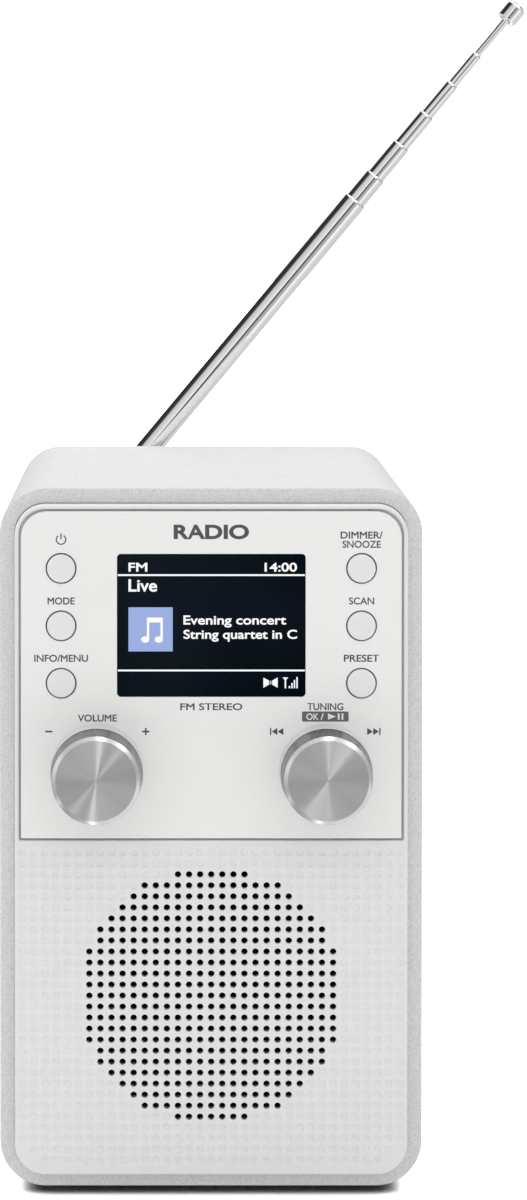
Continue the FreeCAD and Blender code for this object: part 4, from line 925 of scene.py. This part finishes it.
def make_screen():
    """What the display shows: generic words, a clock and a few signs."""
    glass = WINDOW_LOW.y
    left, right = WINDOW_MID.x - 22.0, WINDOW_MID.x + 22.75
    centre = WINDOW_MID.z
    page = Print(glass)
    page.word("FM", left, centre + 14.4, 2.3, 5.0, "LEFT")
    page.word("14:00", right, centre + 14.4, 2.3, 8.6, "RIGHT")
    page.word("Live", left, centre + 9.1, 3.2, 7.6, "LEFT")
    page.word("Evening concert", left + 14.6, centre + 0.3, 2.36, 27.3, "LEFT")
    page.word("String quartet in C", left + 14.6, centre - 3.5, 2.36, 30.2, "LEFT")
    for height in (13.4, -12.0):
        page.bar(WINDOW_MID.x, centre + height, WINDOW_FACE[0] - 0.2, 0.46)
    foot = centre - 16.75
    for side in (-1, 1):
        bow = right - 7.0
        page.outline([(bow + side * 0.45, foot + 0.95), (bow + side * 1.9, foot + 0.15),
                      (bow + side * 1.9, foot + 2.85), (bow + side * 0.45, foot + 2.05)])
        page.bar(bow + side * 0.12, foot + 1.5, 0.12, 1.0)
    page.outline([(right - 3.8, foot + 2.9), (right - 2.3, foot + 2.9), (right - 2.86, foot + 2.2),
                  (right - 2.86, foot), (right - 3.24, foot), (right - 3.24, foot + 2.2)])
    for step in range(4):
        height = 0.6 + 0.8 * step
        page.bar(right - 2.0 + 0.68 * step, foot + height / 2, 0.36, height)
    page.finish("screen_text", SCREEN_WHITE)

    tile = Print(glass)
    tile.bar(left + 5.87, centre - 1.05, 11.75, 11.75)
    tile.finish("screen_tile", SCREEN_BLUE)
    note = Print(glass - PRINT_LIFT)
    stem_x, stem_z = left + 5.2, centre - 4.2
    for step in (0.0, 3.6):
        note.bar(stem_x + step, stem_z + 3.2, 0.6, 5.6)
        note.outline([(stem_x + step - 0.75 + 1.1 * math.cos(math.radians(a)),
                       stem_z + 0.45 + 0.85 * math.sin(math.radians(a))) for a in range(0, 360, 12)])
    note.outline([(stem_x - 0.3, stem_z + 5.0), (stem_x + 3.9, stem_z + 5.0), (stem_x + 3.9, stem_z + 6.3),
                  (stem_x - 0.3, stem_z + 6.3)])
    note.finish("screen_note", SCREEN_WHITE)


# ---------------------------------------------------------------- telescopic antenna

TUBE_WALL = 0.335
TUBE_FOOT_EDGE = 0.08
# Place along the tube from its end, and how far the tube's outside is sunk there.
LIP = ((-0.9, 0.0), (-0.7, 0.01), (-0.5, 0.035), (-0.34, 0.07), (-0.2, 0.12), (-0.1, 0.18), (-0.03, 0.25),
       (0.0, 0.3))
LIP_BORE = 0.3
ROD_EDGE = 0.1
ROD_SWELL = 0.05
# Where the rod's thick end starts and where it is full, from the end of the rod.
ROD_TAPER = (3.6, 3.3)
MAST_AXIS = Vector(next(joint for joint in frame["joints"] if joint["name"] == "antenna_slide_2")["axis"])
MAST_PIVOT = Vector((middle("antenna_swivel").x, middle("antenna_section_1").y, middle("antenna_swivel").z))
ALONG_MAST = Matrix.Translation(MAST_PIVOT) @ Matrix((
    (MAST_AXIS.z, MAST_AXIS.x, 0), (0, 0, -1), (-MAST_AXIS.x, MAST_AXIS.z, 0))).to_4x4()


def mast_span(node):
    """Start and end of a mast piece along the mast, from the pivot, and its radius."""
    low, high = box(node)
    radius = (high.y - low.y) / 2
    start = (low.x - MAST_PIVOT.x + radius * MAST_AXIS.z) / MAST_AXIS.x
    end = (high.x - MAST_PIVOT.x - radius * MAST_AXIS.z) / MAST_AXIS.x
    return start, end, radius


def make_mast():
    """Six plated tubes with crimped lips, the rod and its turned cap."""
    for number in range(1, 7):
        name = "antenna_section_%d" % number
        start, end, radius = mast_span(name)
        inner = radius - TUBE_WALL
        profile = [(inner, start), (radius - TUBE_FOOT_EDGE, start), (radius, start + TUBE_FOOT_EDGE)]
        profile += [(radius - sunk, end + back) for back, sunk in LIP]
        profile += [(inner, end), (inner, end - LIP_BORE)]
        bm = bmesh.new()
        closed_lathe(bm, profile, steps=64)
        bm.transform(ALONG_MAST)
        body = "antenna_mast" if number == 1 else name
        add(bm, name + "_tube", body, MATERIALS["chrome"], [name])

    start, end, radius = mast_span("antenna_rod")
    thick = radius + ROD_SWELL
    bm = bmesh.new()
    lathe(bm, [(0, start), (radius - ROD_EDGE, start), (radius, start + ROD_EDGE),
               (radius, end - ROD_TAPER[0]), (thick, end - ROD_TAPER[1]), (thick, end), (0, end)], steps=48)
    bm.transform(ALONG_MAST)
    add(bm, "antenna_rod_bar", "antenna_rod", MATERIALS["chrome"], ["antenna_rod"])

    base, radius = end, mast_span("antenna_tip")[2]
    bm = bmesh.new()
    # A waist under a cylinder with a stepped top, by radius and height above the end of the rod.
    cap = [(0, 0), (1.3, 0), (2.1, 0.12), (radius - 0.15, 0.72), (radius, 0.9), (radius, 5.35),
           (radius - 0.2, 5.6), (radius - 0.8, 5.8), (radius - 0.9, 6.2), (radius - 1.3, 6.4), (0, 6.4)]
    lathe(bm, [(r, base + y) for r, y in cap], steps=64)
    bm.transform(ALONG_MAST)
    add(bm, "antenna_tip_cap", "antenna_rod", MATERIALS["chrome"], ["antenna_tip"])


make_front_frame()
make_control_plate()
make_window()
make_buttons()
make_collars()
make_knobs()
make_legends()
make_screen()
make_mast()

# ---------------------------------------------------------------- floor, light and camera

# Reach of the painted shadow at the radio's foot, in millimetres.
CONTACT = 4.2
# How white the floor is for the light it throws back, and for the camera in the painted shadow and out of it.
FLOOR_BOUNCE = 0.94
FLOOR_SHADED = 0.06
FLOOR_OPEN = 1.9
# How open the floor is to the sky where the painted shadow is full and where it ends.
SHADE_RANGE = (0.40, 0.90)


def make_floor():
    """A wide white floor, overexposed to the camera but for a shadow painted into its colour at the radio's foot.
    """
    bm = bmesh.new()
    bmesh.ops.create_grid(bm, x_segments=8, y_segments=8, size=6.0)
    mesh = bpy.data.meshes.new("floor")
    bm.to_mesh(mesh)
    bm.free()
    item = bpy.data.objects.new("floor", mesh)
    bpy.context.scene.collection.objects.link(item)
    item.visible_glossy = False
    made = Shader("floor_paper")
    made.roughness(made.noise(200.0), 0.9, 1.0)
    # Painted shadow: ambient occlusion darkens the floor's colour for camera rays where the radio stands close.
    contact = made.node("ShaderNodeAmbientOcclusion", samples=8)
    contact.inputs["Distance"].default_value = CONTACT * MM
    shade = made.node("ShaderNodeMix", data_type="FLOAT")
    shade.inputs["A"].default_value = FLOOR_BOUNCE
    made.link(made.ramp(contact.outputs["AO"], FLOOR_SHADED, FLOOR_OPEN, *SHADE_RANGE), shade.inputs["B"])
    made.link(made.node("ShaderNodeLightPath").outputs["Is Camera Ray"], shade.inputs["Factor"])
    made.link(shade.outputs["Result"], made.surface.inputs["Base Color"])
    mesh.materials.append(made.set(Specular_IOR_Level=0.0))


# The key light, in metres and watts: above, on the left and behind the radio.
KEY_PLACE = Vector((-0.50, 0.25, 1.00))
KEY_TARGET = Vector((0.0, 0.0, 0.12))
KEY_SIZE = 0.6
KEY_POWER = 2.0


def make_key_light():
    """A square softbox that points at the radio and that the metal doesn't mirror."""
    lamp = bpy.data.lights.new("key", "AREA")
    lamp.shape = "RECTANGLE"
    lamp.size = lamp.size_y = KEY_SIZE
    lamp.energy = KEY_POWER
    item = bpy.data.objects.new("key", lamp)
    bpy.context.scene.collection.objects.link(item)
    item.location = KEY_PLACE
    item.rotation_euler = (KEY_TARGET - KEY_PLACE).to_track_quat("-Z", "Y").to_euler()
    item.visible_glossy = False


# Top of the scale that the levels below are stored on.
BRIGHTEST = 6.0
# What a long bright tube mirrors, by angle about the mast: 0 is towards the front, below 0 is up and left.
MAST_BANDS = ((-180, 0.30), (-172, 0.05), (-92, 0.03), (-80, 0.14), (-66, 0.66), (-36, 0.76),
              (-24, 0.90), (-9, 0.84), (-6, 0.04), (5, 0.04), (8, 0.50), (24, 0.42), (34, 0.62),
              (44, 1.08), (56, 1.02), (72, 0.76), (111, 0.70), (150, 0.65), (180, 0.40))
# What turned faces mirror, by angle clockwise from straight up. Both ends of a spoke add up.
SPOKES = ((-180, 0.72), (-178, 0.72), (-175, 3.20), (-171, 0.65), (-150, 0.48), (-137, 0.48), (-133, 1.70),
          (-129, 0.48), (-110, 0.65), (-92, 1.00), (-70, 1.10), (-40, 1.05), (-10, 0.86), (2, 0.80),
          (5, 5.40), (8, 5.40), (12, 0.76), (25, 0.90), (42, 1.05), (45, 3.60), (51, 3.60),
          (55, 1.05), (75, 0.66), (90, 0.56), (125, 0.56), (145, 1.00), (170, 1.00), (180, 0.72))
# Direction of a dark card that turned faces mirror.
DARK_CARD = (0.50, 0.866, 0.0)
# Level of the light from the horizon, and how much brighter it is from straight up.
SKY_LOW = 0.45
SKY_RISE = 1.24
# Level of the background that the camera sees.
BACKDROP = 1.05


def by_angle(sky, first, second, stops):
    """Brightness by the angle whose sine and cosine are given, from (degrees, level) stops."""
    turn = sky.ramp(sky.maths("ARCTAN2", first, second), 0.0, 1.0, -math.pi, math.pi)
    item = sky.node("ShaderNodeValToRGB")
    points = item.color_ramp.elements
    for _ in stops[2:]:
        points.new(0.5)
    for point, (degrees, level) in zip(points, stops):
        point.position = degrees / 360 + 0.5
        point.color = (level / BRIGHTEST, level / BRIGHTEST, level / BRIGHTEST, 1)
    sky.link(turn, item.inputs["Fac"])
    return sky.maths("MULTIPLY", item.outputs["Color"], BRIGHTEST)


def make_sky():
    """Studio surround: light from above, bands for the metal to mirror, and plain white behind."""
    world = bpy.data.worlds.new("studio")
    bpy.context.scene.world = world
    world.use_nodes = True
    world.cycles.sampling_method = "NONE"
    sky = Nodes(world.node_tree)
    view = sky.node("ShaderNodeTexCoord").outputs["Generated"]
    parts = sky.node("ShaderNodeSeparateXYZ")
    sky.link(view, parts.inputs["Vector"])
    x, z = parts.outputs["X"], parts.outputs["Z"]

    def along(direction):
        product = sky.node("ShaderNodeVectorMath", operation="DOT_PRODUCT")
        product.inputs[1].default_value = direction
        sky.link(view, product.inputs[0])
        return product.outputs["Value"]

    tube = by_angle(sky, along((MAST_AXIS.z, 0, -MAST_AXIS.x)), along((0, -1, 0)), MAST_BANDS)
    turned = sky.maths("MULTIPLY", by_angle(sky, x, z, SPOKES),
                       sky.ramp(along(DARK_CARD), 1.0, 0.05, 0.86, 0.92))
    near_tube = sky.ramp(sky.maths("ABSOLUTE", along(MAST_AXIS)), 1.0, 0.0, 0.20, 0.32)
    mirrored = sky.node("ShaderNodeMix", data_type="FLOAT")
    sky.link(near_tube, mirrored.inputs["Factor"])
    sky.link(turned, mirrored.inputs["A"])
    sky.link(tube, mirrored.inputs["B"])
    soft = sky.ramp(z, SKY_LOW, SKY_LOW + SKY_RISE, 0.0, 1.0)

    path = sky.node("ShaderNodeLightPath")
    level = soft
    for flag, value in (("Is Glossy Ray", mirrored.outputs["Result"]), ("Is Camera Ray", BACKDROP)):
        choice = sky.node("ShaderNodeMix", data_type="FLOAT")
        sky.link(path.outputs[flag], choice.inputs["Factor"])
        sky.link(level, choice.inputs["A"])
        if isinstance(value, float):
            choice.inputs["B"].default_value = value
        else:
            sky.link(value, choice.inputs["B"])
        level = choice.outputs["Result"]
    shade = sky.tree.nodes["Background"]
    shade.inputs["Color"].default_value = (1, 1, 1, 1)
    sky.link(level, shade.inputs["Strength"])


# Metres and degrees; the lens is in millimetres.
CAMERA_PLACE = (-0.01221, -0.72292, 0.27195)
CAMERA_TILT = 89.0
CAMERA_LENS = 75.61
CAMERA_SENSOR = 36.0
CAMERA_SHIFT = (0.0818, -0.315)


def make_camera():
    """The camera: a long lens at the height of the raised antenna, tipped slightly down."""
    data = bpy.data.cameras.new("camera")
    data.lens = CAMERA_LENS
    data.sensor_width = CAMERA_SENSOR
    data.shift_x, data.shift_y = CAMERA_SHIFT
    item = bpy.data.objects.new("camera", data)
    bpy.context.scene.collection.objects.link(item)
    item.location = CAMERA_PLACE
    item.rotation_euler = (math.radians(CAMERA_TILT), 0, 0)
    bpy.context.scene.camera = item


make_floor()
make_sky()
make_key_light()
make_camera()
bpy.context.scene.view_settings.view_transform = "Standard"
